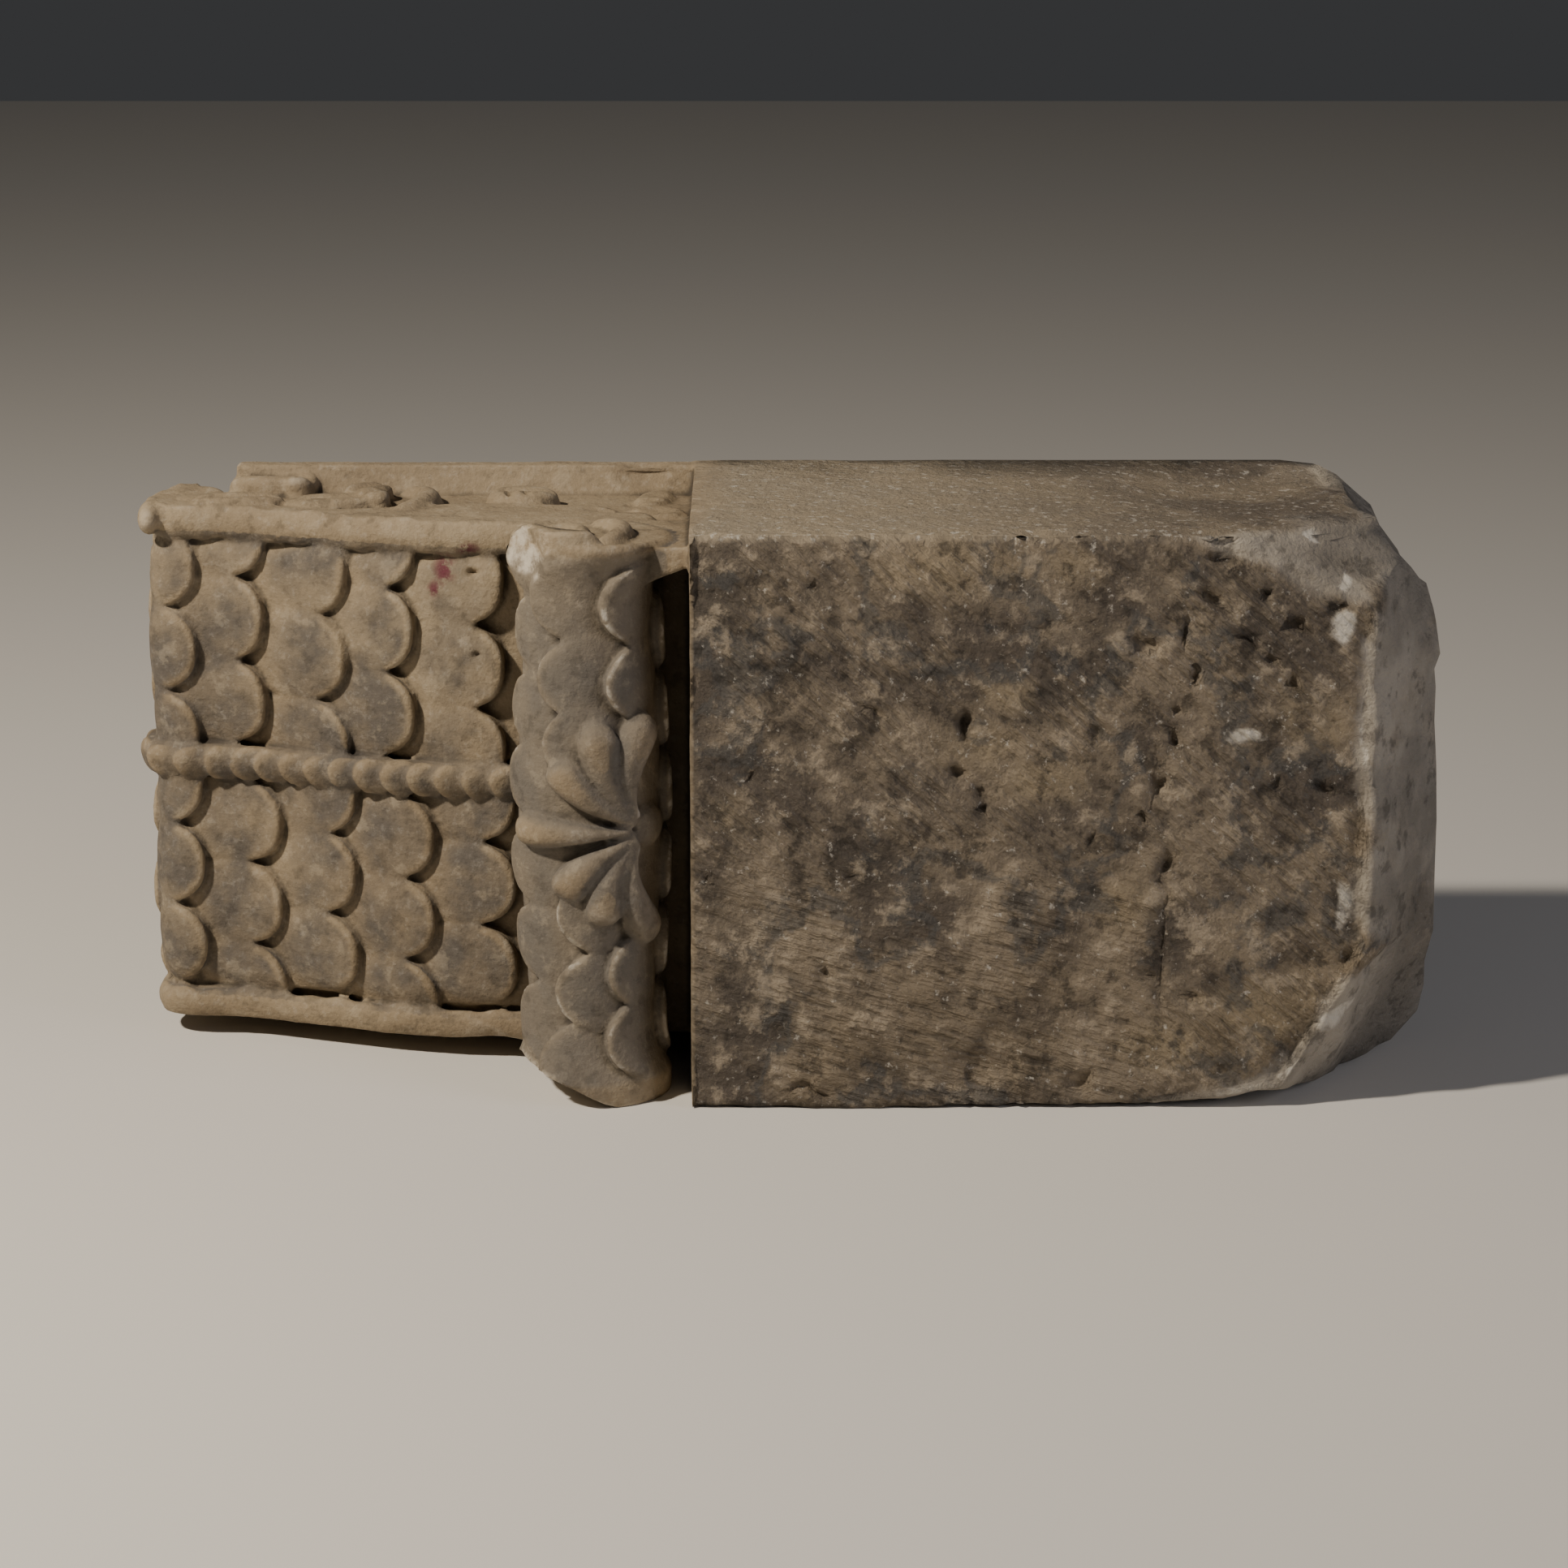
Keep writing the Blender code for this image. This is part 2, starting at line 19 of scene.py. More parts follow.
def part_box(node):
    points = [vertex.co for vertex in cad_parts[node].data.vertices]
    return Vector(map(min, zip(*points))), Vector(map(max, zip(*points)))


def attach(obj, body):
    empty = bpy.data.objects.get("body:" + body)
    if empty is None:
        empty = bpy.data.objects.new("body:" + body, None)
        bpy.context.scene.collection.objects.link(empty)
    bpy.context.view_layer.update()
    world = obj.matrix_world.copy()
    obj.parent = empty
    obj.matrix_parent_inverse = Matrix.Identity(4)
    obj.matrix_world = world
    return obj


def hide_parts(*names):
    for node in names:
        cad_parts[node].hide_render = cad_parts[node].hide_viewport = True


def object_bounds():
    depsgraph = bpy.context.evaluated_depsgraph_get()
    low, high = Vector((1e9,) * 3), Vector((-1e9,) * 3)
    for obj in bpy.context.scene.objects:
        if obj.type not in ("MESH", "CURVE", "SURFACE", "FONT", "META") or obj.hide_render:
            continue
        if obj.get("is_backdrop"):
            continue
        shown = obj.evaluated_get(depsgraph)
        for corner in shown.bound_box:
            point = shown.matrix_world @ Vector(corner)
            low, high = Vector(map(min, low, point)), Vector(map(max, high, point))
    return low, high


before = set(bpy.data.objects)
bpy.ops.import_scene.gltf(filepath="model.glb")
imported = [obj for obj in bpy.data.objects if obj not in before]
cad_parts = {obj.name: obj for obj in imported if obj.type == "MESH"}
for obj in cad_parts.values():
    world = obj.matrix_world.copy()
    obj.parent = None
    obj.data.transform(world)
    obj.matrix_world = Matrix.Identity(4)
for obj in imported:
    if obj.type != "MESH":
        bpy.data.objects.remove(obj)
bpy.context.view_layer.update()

START = time.time()


def seconds():
    return f"{time.time() - START:.1f} s"


# %% [markdown]
# ## The sizes
# All sizes are in metres, in the block's own coordinates: x runs from the nose to the broken
# end, y from the carved soffit to the bedding face, and z across the width with zero at the
# middle. They are the sizes of the solid, so that the finer carving keeps its form.

# %% Named sizes
LENGTH, HEIGHT, TAIL_WIDTH = 0.664, 0.186, 0.294
SIDE_STEP = 0.011
SCROLL_LENGTH = 0.286
NOSE_THICKNESS, NOSE_LENGTH = 0.068, 0.030
SLAB_THICKNESS, SLAB_SETBACK, SLAB_STEP = 0.012, 0.048, 0.0006
CYMA_HEIGHT = 0.011
SIDE_RECESS = 0.004
BAND_NARROW, BAND_WIDE = 0.015, 0.050
EDGE_BAND = 0.011
FIELD_RECESS = 0.006
SCALE_RISE, SCALE_DOME = 0.0050, 0.0020
FILLET_HALF, FILLET_OUT = 0.0088, 0.0045
ROPE_DIAMETER = 0.0185
STRAND_PITCH = 0.0142
STRAND_BOW, STRAND_TILT = 0.0034, 0.0030
STRAND_SLANT = math.radians(52)
ROLL_RADIUS, ROLL_WAIST, ROLL_FLARE = 0.0345, 0.0040, 0.0085
FLARE_LENGTH = 0.028
GROOVE_WIDTH, GROOVE_DEPTH = 0.0150, 0.078
WEB_THICKNESS = 0.012
LOBE_WIDTH, LOBE_RISE = 0.017, 0.0065
LEAF_RISE = 0.010
SINK = 0.004
BREAK_REACH = 0.19

HALF_TAIL = TAIL_WIDTH / 2
HALF_SCROLL = HALF_TAIL - SIDE_STEP
HALF_FIELD = HALF_SCROLL - EDGE_BAND
HALF_CORE = HALF_SCROLL - SIDE_RECESS
TAIL_START = SCROLL_LENGTH
ROLL_X = TAIL_START - GROOVE_WIDTH - ROLL_RADIUS
ROLL_Y = ROLL_RADIUS + 0.6 * LOBE_RISE
ROLL_TOP = HALF_SCROLL + 0.5 * SIDE_RECESS
SOFFIT_AT_ROLL = ROLL_Y + ROLL_RADIUS + 0.001
NOSE_X = NOSE_LENGTH + SCALE_RISE
NOSE_TOP = HEIGHT - SLAB_STEP - 0.25 * SLAB_THICKNESS

box_low, box_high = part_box("modillion")
ORIGIN = np.array((box_high.x - LENGTH, box_high.y - HEIGHT, (box_low.z + box_high.z) / 2))
GRID = 0.0013
TRIANGLES = 192000
print("block origin in the frame", ORIGIN.round(4))

# %% [markdown]
# ## The carved line and the two maps
# The carver first cut the side view of the scroll, an S that ends in a rounded nose, and then
# drew the pattern on the curved face. The script does the same: it keeps the line as a list of
# points with their distances, and two maps carry a flat drawing onto the soffit and the roll.


# %% Maps from a flat drawing to the stone
PATH_STEPS = 200
NOSE_LEAN = 0.72


def smoothstep(t):
    t = np.clip(t, 0.0, 1.0)
    return t * t * (3 - 2 * t)


def carved_path(steps):
    """The carved line in side view, from the roll along the soffit and round the nose."""
    start = Vector((ROLL_X - 0.15 * ROLL_RADIUS, SOFFIT_AT_ROLL))
    end = Vector((NOSE_X, HEIGHT - NOSE_THICKNESS))
    run = start.x - end.x
    near_roll = Vector((start.x - 0.56 * run, start.y))
    near_nose = Vector((end.x + 0.19 * run, end.y))
    path = [tuple(p)[:2] for p in interpolate_bezier(start, near_roll, near_nose, end, steps + 1)]
    rise = (NOSE_TOP - end.y) / 2
    for step in range(1, steps + 1):
        turn = math.pi * step / steps
        lean = math.pi * (step / steps) ** NOSE_LEAN
        path.append((NOSE_X - NOSE_LENGTH * math.sin(lean), end.y + rise - rise * math.cos(turn)))
    return np.array(path)


PATH = carved_path(PATH_STEPS)
ALONG = np.concatenate(([0.0], np.cumsum(np.linalg.norm(np.diff(PATH, axis=0), axis=1))))
PATH_LENGTH = ALONG[-1]
SCALES_END, BAND_END = 0.93 * PATH_LENGTH, 0.97 * PATH_LENGTH
TANGENT = np.gradient(PATH, ALONG, axis=0)
TANGENT /= np.linalg.norm(TANGENT, axis=1)[:, None]


def on_path(along):
    """Points and outward normals at distances along the carved line."""
    along = np.clip(along, 0.0, PATH_LENGTH)
    point = np.column_stack([np.interp(along, ALONG, PATH[:, axis]) for axis in (0, 1)])
    tangent = np.column_stack([np.interp(along, ALONG, TANGENT[:, axis]) for axis in (0, 1)])
    return point, np.column_stack((-tangent[:, 1], tangent[:, 0]))


def on_soffit(flat):
    """Along the line, across the width and out of the field, which bulges beside the rope."""
    along, across, out = flat.T
    across = np.clip(across, -HALF_FIELD - 0.002, HALF_FIELD + 0.002)
    point, normal = on_path(np.minimum(along, SCALES_END))
    bulge = np.sin(np.pi * np.minimum(1.0, np.abs(across) / HALF_FIELD))
    band = smoothstep((np.abs(across) - HALF_FIELD + 0.016) / 0.018)
    place = point + normal * (out - 0.0052 * band - FIELD_RECESS * (1 - 0.5 * bulge))[:, None]
    return np.column_stack((place, across))


def roll_radius(z):
    shaft = HALF_SCROLL - FLARE_LENGTH
    flare = np.clip((np.abs(z) - shaft) / FLARE_LENGTH, 0.0, 1.0) ** 2
    return ROLL_RADIUS - ROLL_WAIST * smoothstep(np.abs(z) / shaft) + ROLL_FLARE * flare


def on_roll(flat):
    """Around the roll from its near line towards the nose, across the width, and out."""
    around, across, out = flat.T
    turn = around / ROLL_RADIUS
    radius = roll_radius(across) + out
    x = ROLL_X - radius * np.sin(turn)
    return np.column_stack((x, ROLL_Y - radius * np.cos(turn), across))


print("carved line", round(PATH_LENGTH, 4), "m long")

# %% [markdown]
# ## Building blocks
# Every form is a closed shell of points and faces, kept in one list until the fusing step.
# A ball whose points are moved by a function gives pebbles, lobes and petals, and an outline
# with a thickness gives the sawn plates.

# %% Shells
shells = []


def shell(verts, faces):
    shells.append((np.asarray(verts, float), faces))


def closed_faces(segments, rings):
    """Faces of a closed form: one end point, rings of points, and the other end point."""
    last = 1 + (rings - 1) * segments
    faces = []
    for k in range(segments):
        after = (k + 1) % segments
        faces.append((0, 1 + k, 1 + after))
        for a in range(1, last, segments):
            faces.append((a + k, a + segments + k, a + segments + after, a + after))
        faces.append((last + k, last + segments, last + after))
    return faces


def ball(segments, rings):
    """Points and faces of a unit ball, with its poles along the last axis."""
    verts = [(0.0, 0.0, 1.0)]
    for ring in range(1, rings):
        tilt = math.pi * ring / rings
        for k in range(segments):
            turn = 2 * math.pi * k / segments
            verts.append((math.sin(tilt) * math.cos(turn), math.sin(tilt) * math.sin(turn), math.cos(tilt)))
    verts.append((0.0, 0.0, -1.0))
    return np.array(verts), closed_faces(segments, rings - 1)


def pebble(place, segments=28, rings=16):
    """A closed ball whose points are moved by a function of their place on the unit ball."""
    verts, faces = ball(segments, rings)
    shell(place(*verts.T), faces)


def prism(near, far):
    """A closed form between an outline in space and its copy at the other end."""
    count = len(near)
    faces = [tuple(range(count)), tuple(range(2 * count - 1, count - 1, -1))]
    faces += [(k, k + count, (k + 1) % count + count, (k + 1) % count) for k in range(count)]
    shell(np.vstack((near, far)), faces)


def plate(outline, z_low, z_high):
    """A flat outline in the side view, given thickness across the width."""
    outline = np.asarray(outline, float)
    prism(*(np.column_stack((outline, np.full(len(outline), z))) for z in (z_low, z_high)))


def box(low, high):
    plate(((low[0], low[1]), (high[0], low[1]), (high[0], high[1]), (low[0], high[1])), low[2], high[2])


# %% [markdown]
# ## The squared scroll
# The core between the edge bands is cut back a little, so that the scales can stand proud of it
# and still lie under the band that frames them. The side band is broad beside the roll and
# narrow beside the nose and has a rounded lip, and the thin slab with its sloped moulding closes
# the bedding face. Some stone was left across the upper end of the groove.


# %% Core, bands, slab and moulding
def band_width(along):
    return BAND_WIDE + (BAND_NARROW - BAND_WIDE) * smoothstep(along / PATH_LENGTH * 3 - 0.55)


CORE_STEPS = (
    (0.0105, -HALF_CORE, HALF_CORE),
    (FIELD_RECESS, -HALF_FIELD + 0.006, -0.009),
    (FIELD_RECESS, 0.012, HALF_FIELD - 0.006),
)


def core_plate(recess, low, high):
    along = np.linspace(0.0, PATH_LENGTH, 140)
    point, normal = on_path(along)
    depth = FIELD_RECESS + (recess - FIELD_RECESS) * smoothstep(along / 0.02)
    outline = [tuple(p) for p in point - normal * depth[:, None]]
    behind = TAIL_START + 2 * SINK
    outline += [(behind, NOSE_TOP), (behind, GROOVE_DEPTH), (ROLL_X + ROLL_RADIUS, GROOVE_DEPTH)]
    outline += [(ROLL_X + share * ROLL_RADIUS, 1.5 * ROLL_RADIUS) for share in (0.4, -0.3)]
    plate(outline, low, high)


def make_side_bands():
    along = np.linspace(0.0, BAND_END, 110)
    point, normal = on_path(along)
    inner = point - normal * band_width(along)[:, None]
    reach = ROLL_RADIUS + 0.3 * GROOVE_WIDTH
    turn = np.radians(np.linspace(0, 60, 9))
    end = np.column_stack((point[0, 0] + reach * np.cos(turn), point[0, 1] + BAND_WIDE * np.sin(turn)))
    outline = np.vstack((point, inner[::-1], end[::-1]))
    plate(outline, HALF_FIELD, HALF_SCROLL)
    plate(outline, -HALF_SCROLL, -HALF_FIELD)


def make_slab():
    half = HALF_TAIL - SLAB_STEP
    under = HEIGHT - SLAB_THICKNESS
    box((SLAB_SETBACK, under, -half), (TAIL_START + SINK, HEIGHT - SLAB_STEP, half))
    steps = np.linspace(0.0, 1.0, 9)
    y = under - CYMA_HEIGHT + (CYMA_HEIGHT + 0.5 * SINK) * steps
    z = HALF_CORE - SINK + (half - 0.002 - HALF_CORE + SINK) * (0.5 - 0.5 * np.cos(np.pi * steps))
    profile = list(zip(y, z)) + list(zip(y[::-1], -z[::-1]))
    prism(*([(x, a, b) for a, b in profile] for x in (SLAB_SETBACK + SINK, TAIL_START + SINK)))


def make_web():
    """The stone left across the upper end of the groove, between the roll and the tail."""
    top = HALF_SCROLL + 0.25 * SIDE_RECESS
    outline = (
        (ROLL_X, 0.60 * ROLL_RADIUS),
        (TAIL_START + SINK, 0.9 * GROOVE_WIDTH),
        (TAIL_START + SINK, GROOVE_DEPTH + SINK),
        (ROLL_X, GROOVE_DEPTH + SINK),
    )
    plate(outline, top - WEB_THICKNESS, top)
    wedge, faces = shells[-1]
    near_tail = wedge[:, 0] > ROLL_X + SINK
    lower = wedge[:, 2] < top - SINK
    wedge[near_tail & lower, 2] = top - 0.008
    wedge[~near_tail & lower, 2] = top - 2.6 * WEB_THICKNESS


def make_fillet(side, middle, half):
    """The rounded lip of a side band, swept along the carved line and round the nose."""
    sides = 14
    point, normal = on_path(np.linspace(0.0, BAND_END, 130))
    place = np.arange(len(point))
    wander = 0.0007 * np.sin(place * 0.31 + side) + 0.0005 * np.sin(place * 0.83)
    rows = []
    for k in range(sides):
        turn = 2 * math.pi * k / sides
        out = FILLET_OUT * math.cos(turn) - 0.6 * FILLET_OUT
        across = side * (middle + wander + half * math.sin(turn))
        rows.append(np.column_stack((point + normal * out, across)))
    verts = np.stack(rows, 1).reshape(-1, 3)
    faces = []
    for ring in range(len(point) - 1):
        a, b = ring * sides, (ring + 1) * sides
        faces += [(a + k, b + k, b + (k + 1) % sides, a + (k + 1) % sides) for k in range(sides)]
    faces += [tuple(range(sides)), tuple(range(len(verts) - 1, len(verts) - sides - 1, -1))]
    shell(verts, faces)


def make_cross_tie():
    """A small bridge of stone that the carver left between the upper band and a scale."""
    along = np.interp(-0.101, -PATH[:PATH_STEPS, 0], ALONG[:PATH_STEPS])

    def place(u, w, h):
        across = HALF_FIELD - 0.006 + 0.012 * w
        return on_soffit(np.column_stack((along + 0.011 * u, across, 0.0035 + 0.0045 * h)))

    pebble(place)


for recess, low, high in CORE_STEPS:
    core_plate(recess, low, high)
make_side_bands()
make_slab()
make_web()
make_fillet(1, HALF_SCROLL - 0.9 * FILLET_HALF, FILLET_HALF)
make_fillet(-1, HALF_SCROLL - 0.9 * FILLET_HALF, 0.85 * FILLET_HALF)
make_cross_tie()
print(len(shells), "shells for the squared scroll")

# %% [markdown]
# ## Scales and rope strands by Geometry Nodes
# Overlapping scales and the strands of a cable moulding are one shape repeated by hand, never
# twice the same. A small node tree does the repeating: it puts one leaf on every point, turns
# and resizes each by a seeded chance, and realises them. The result is taken as a plain mesh,
# still flat, and the maps above then bend it onto the stone.


# %% A node tree that repeats one form on points
def add_node(tree, kind, inputs, output=0, **settings):
    """One node with its settings, constants and links. Returns the wanted output."""
    node = tree.nodes.new(kind)
    for key, value in settings.items():
        setattr(node, key, value)
    for key, value in inputs.items():
        if isinstance(value, bpy.types.NodeSocket):
            tree.links.new(value, node.inputs[key])
        else:
            node.inputs[key].default_value = value
    return node.outputs[output]


def repeat_tree():
    tree = bpy.data.node_groups.new("repeat_on_points", "GeometryNodeTree")
    kinds = {"Points": "Geometry", "Form": "Object", "Turn": "Float", "Spread": "Float", "Seed": "Int"}
    for name, kind in (kinds | {"Material": "Material"}).items():
        tree.interface.new_socket(name, in_out="INPUT", socket_type="NodeSocket" + kind)
    tree.interface.new_socket("Mesh", in_out="OUTPUT", socket_type="NodeSocketGeometry")

    def node(kind, inputs, output=0, **settings):
        return add_node(tree, kind, inputs, output, **settings)

    given = tree.nodes.new("NodeGroupInput").outputs
    form = node("GeometryNodeObjectInfo", {"As Instance": True, "Object": given["Form"]}, "Geometry")
    back = node("ShaderNodeMath", {0: given["Turn"], 1: -1.0}, operation="MULTIPLY")
    turn = node("FunctionNodeRandomValue", {2: back, 3: given["Turn"], "Seed": given["Seed"]}, 1)
    spin = node("ShaderNodeCombineXYZ", {"Z": turn})
    small = node("ShaderNodeMath", {0: 1.0, 1: given["Spread"]}, operation="SUBTRACT")
    large = node("ShaderNodeMath", {0: 1.0, 1: given["Spread"]}, operation="ADD")
    size = node("FunctionNodeRandomValue", {2: small, 3: large, "Seed": given["Seed"]}, 1)
    layout = {"Points": given["Points"], "Instance": form, "Rotation": spin, "Scale": size}
    realised = node("GeometryNodeRealizeInstances", {0: node("GeometryNodeInstanceOnPoints", layout)})
    paint = node("GeometryNodeSetMaterial", {"Geometry": realised, "Material": given["Material"]})
    tree.links.new(paint, tree.nodes.new("NodeGroupOutput").inputs[0])
    return tree


REPEAT = repeat_tree()
stone = bpy.data.materials.new("aged_marble")


def mesh_object(name, verts, faces):
    mesh = bpy.data.meshes.new(name)
    mesh.from_pydata([tuple(v) for v in verts], [], faces)
    made = bpy.data.objects.new(name, mesh)
    bpy.context.scene.collection.objects.link(made)
    return made


def arrays(mesh):
    """A mesh's points as an array, and its faces as tuples."""
    verts = np.empty(len(mesh.vertices) * 3)
    mesh.vertices.foreach_get("co", verts)
    return verts.reshape(-1, 3), [tuple(p.vertices) for p in mesh.polygons]


def repeated(points, form, turn, spread, seed):
    """The form (points, faces) repeated on flat points by the tree, as plain arrays."""
    leaf = mesh_object("form", *form)
    carrier = mesh_object("points", points, [])
    modifier = carrier.modifiers.new("repeat", "NODES")
    modifier.node_group = REPEAT
    values = {"Form": leaf, "Turn": turn, "Spread": spread, "Seed": seed, "Material": stone}
    for item in REPEAT.interface.items_tree:
        if item.in_out == "INPUT" and item.name in values:
            modifier[item.identifier] = values[item.name]
    bpy.context.view_layer.update()
    ready = carrier.evaluated_get(bpy.context.evaluated_depsgraph_get())
    mesh = bpy.data.meshes.new_from_object(ready)
    result = arrays(mesh)
    carrier.modifiers.clear()
    for used in (carrier, leaf):
        bpy.data.objects.remove(used, do_unlink=True)
    return result


def leaf_form(length, width, rise, slope, dome, edge, depth, square):
    """One scale lying flat, its tip at the origin and its root along +x, with a rounded rim."""
    segments = 32
    rings = (0.30, 0.55, 0.74, 0.86, 0.93, 0.975, 1.0)
    verts = [(0.5 * length, 0.0, rise * (1 - 0.5 * slope) + dome)]
    start = 1 - 2 * edge / width
    for ring in rings:
        for k in range(segments):
            turn = 2 * math.pi * k / segments
            c, s = math.cos(turn), math.sin(turn)
            stretch = (abs(c) ** square + abs(s) ** square) ** (-1 / square)
            u, w = ring * c * stretch, ring * s * stretch
            back = (1 - u) / 2
            round_off = max(0.0, (ring - start) / (1 - start))
            height = rise * (1 - slope * back) + dome * (1 - ring * ring)
            height -= edge * (1 - math.sqrt(max(0.0, 1 - round_off * round_off)))
            verts.append((back * length, w * width / 2, height))
    for x, y, _ in verts[-segments:]:
        verts.append((0.5 * length + (x - 0.5 * length) * 0.95, y * 0.95, -depth))
    verts.append((0.5 * length, 0.0, -depth))
    return verts, closed_faces(segments, len(rings) + 1)


# %% [markdown]
# ### Scales on the soffit
# Each half of the soffit has its own half-drop pattern of scales that point to the roll. The
# lower half starts 5 mm nearer the roll, as the carver set it out. Scales are clipped by the
# cable in the middle and by the edge band, and they run on round the nose.


# %% Soffit scales
ROPE_Z = 0.0020


def soffit_half(side, first_tip, pitch, even_shift, first_row, row, even_drop, seed):
    points = []
    columns = int(PATH_LENGTH / pitch) + 1
    for column in range(columns):
        even = column % 2
        for place in range(4):
            along = first_tip + pitch * column + even_shift * even
            across = first_row + row * place + even_drop * even
            if across < HALF_FIELD + 0.3 * row and along < PATH_LENGTH:
                points.append((along, across, 0.0))
    form = leaf_form(1.6 * pitch, 1.06 * row, SCALE_RISE + 0.0022, 1.6, SCALE_DOME, 0.0018, 0.012, 2.5)
    verts, faces = repeated(points, form, math.radians(2.5), 0.03, seed)
    under = np.maximum(0.0, 0.40 * ROPE_DIAMETER - verts[:, 1])
    verts[:, 2] -= 0.8 * np.minimum(under, 0.012)
    verts[:, 1] = side * (verts[:, 1] + under)
    verts[:, 1] += ROPE_Z
    shell(on_soffit(verts), faces)
    return len(points)


upper_count = soffit_half(1, 0.0400, 0.0416, 0.0050, 0.0155, 0.0438, 0.0168, 3)
lower_count = soffit_half(-1, 0.0353, 0.0425, 0.0000, 0.0110, 0.0434, 0.0209, 8)
print("soffit scales", upper_count, lower_count)

# %% [markdown]
# ### The cable moulding
# The cable is a half-round astragal cut into slanted strands. Each strand is a bowed pebble that
# leans across the cable, stands up at its nose side and tucks under the next one at the other.


# %% Rope strands
def make_rope():
    radius = ROPE_DIAMETER / 2
    verts, faces = ball(28, 16)
    slant = (-math.cos(STRAND_SLANT), math.sin(STRAND_SLANT))
    long = verts[:, 0] * 1.30 * radius
    wide = verts[:, 1] * 0.72 * STRAND_PITCH
    x = slant[0] * long - slant[1] * wide - STRAND_BOW * verts[:, 0] ** 2
    y = np.clip(slant[1] * long + slant[0] * wide, -radius, radius)
    arch = np.sqrt(np.maximum(0.0, 1 - (y / (1.15 * radius)) ** 2))
    full = np.sign(verts[:, 2]) * np.abs(verts[:, 2]) ** 0.35
    z = radius * arch * (0.62 * full + 0.20) - STRAND_TILT * verts[:, 1] * (verts[:, 2] > 0)
    form = (np.column_stack((x, y, z)), faces)
    count = int(SCALES_END / STRAND_PITCH) + 2
    points = [(k * STRAND_PITCH - 0.004, 0.0, 0.0040) for k in range(count)]
    verts, faces = repeated(points, form, math.radians(3), 0.03, 5)
    verts[:, 1] += ROPE_Z
    shell(on_soffit(verts), faces)
    return len(points)


print("rope strands", make_rope())

# %% [markdown]
# ## The roll and its palmette
# The scroll ends in a roll like a bolster: it swells at the middle, narrows to two waists and
# flares at its ends. Round scales lie on it, pointing round it towards the nose, and a palmette
# of seven club-shaped lobes fans out from the groove over its middle.


# %% The turned roll
def make_roll():
    segments, rings = 72, 80
    verts = [(ROLL_X, ROLL_Y, ROLL_TOP)]
    for height in np.linspace(ROLL_TOP, -HALF_TAIL, rings):
        radius = float(roll_radius(height))
        for k in range(segments):
            turn = 2 * math.pi * k / segments
            verts.append((ROLL_X + radius * math.cos(turn), ROLL_Y + radius * math.sin(turn), height))
    verts.append((ROLL_X, ROLL_Y, -HALF_TAIL))
    shell(verts, closed_faces(segments, rings))


def make_roll_scales():
    """Tips as the carver placed them: around the roll towards the nose, and across it."""
    tips = [(-0.006, 0.109), (-0.008, 0.070), (-0.008, -0.078), (-0.007, -0.114)]
    tips += [(0.031, 0.112), (0.026, 0.073), (0.022, 0.040)]
    tips += [(0.016, -0.047), (0.018, -0.088), (0.026, -0.124)]
    tips += [(0.051, z) for z in (0.130, 0.094, 0.056, 0.019, -0.025, -0.064, -0.106)]
    tips += [(0.084, z) for z in (0.112, 0.075, 0.037, -0.003, -0.045, -0.085, -0.125)]
    tips += [(-0.044, z) for z in (0.090, 0.050, 0.010, -0.030, -0.070, -0.110)]
    tips += [(-0.080, z) for z in (0.110, 0.070, 0.030, -0.010, -0.050, -0.090)]
    form = leaf_form(0.062, 0.043, 0.0074, 1.90, 0.0016, 0.0010, 0.010, 2.15)
    points = [(-around, across, 0.0) for around, across in tips]
    verts, faces = repeated(points, form, math.radians(2), 0.02, 11)
    verts[:, 0] *= -1
    shell(on_roll(verts), faces)
    return len(tips)


make_roll()
print("roll scales", make_roll_scales())


# %% The palmette
LOBE_CLUB = 1.14
LOBE_TIPS = (
    (-0.031, 0.055), (-0.004, 0.053), (0.016, 0.033), (0.039, -0.005),
    (0.014, -0.038), (-0.006, -0.053), (-0.034, -0.064),
)


def make_palmette():
    root = np.array((-0.027, -0.004))
    for tip in LOBE_TIPS:
        reach = np.array(tip) - root
        length = np.linalg.norm(reach)
        lean = 0.62 * math.atan2(reach[1], reach[0])
        heading = np.array((math.cos(lean), math.sin(lean)))
        spans = list(zip(root + 0.10 * length * heading, root + 0.55 * length * heading, tip))

        def lobe(w, h, u):
            share = (u + 1) / 2
            ring = np.maximum(1e-6, np.sqrt(1 - np.minimum(1.0, u * u)))
            club = (0.20 + 0.80 * smoothstep(share / 0.88)) * LOBE_CLUB
            ends = np.sqrt(np.clip(1 - ((share - 0.82) / 0.18) ** 2, 0, 1)) * (share > 0.82)
            ends += np.sqrt(np.clip(1 - ((0.08 - share) / 0.08) ** 2, 0, 1)) * (share < 0.08)
            ends += (share >= 0.08) * (share <= 0.82)
            w, h = w / ring, h / ring
            rest = 1 - share
            line = [rest ** 2 * a + 2 * share * rest * b + share ** 2 * c for a, b, c in spans]
            slope = [2 * rest * (b - a) + 2 * share * (c - b) for a, b, c in spans]
            size = np.hypot(*slope)
            half = LOBE_WIDTH / 2 * club * ends * np.sign(w) * np.abs(w) ** 0.8
            around = line[0] - half * slope[1] / size
            across = line[1] + half * slope[0] / size
            rise = LOBE_RISE * (0.90 + 0.82 * smoothstep(share * 1.1)) * ends
            return on_roll(np.column_stack((around, across, rise * h + 0.0010)))

        pebble(lobe, 32, 40)

    def calyx(u, w, h):
        return on_roll(np.column_stack((root[0] - 0.006 + 0.011 * u, root[1] + 0.011 * w, 0.0055 * h)))

    pebble(calyx)


make_palmette()
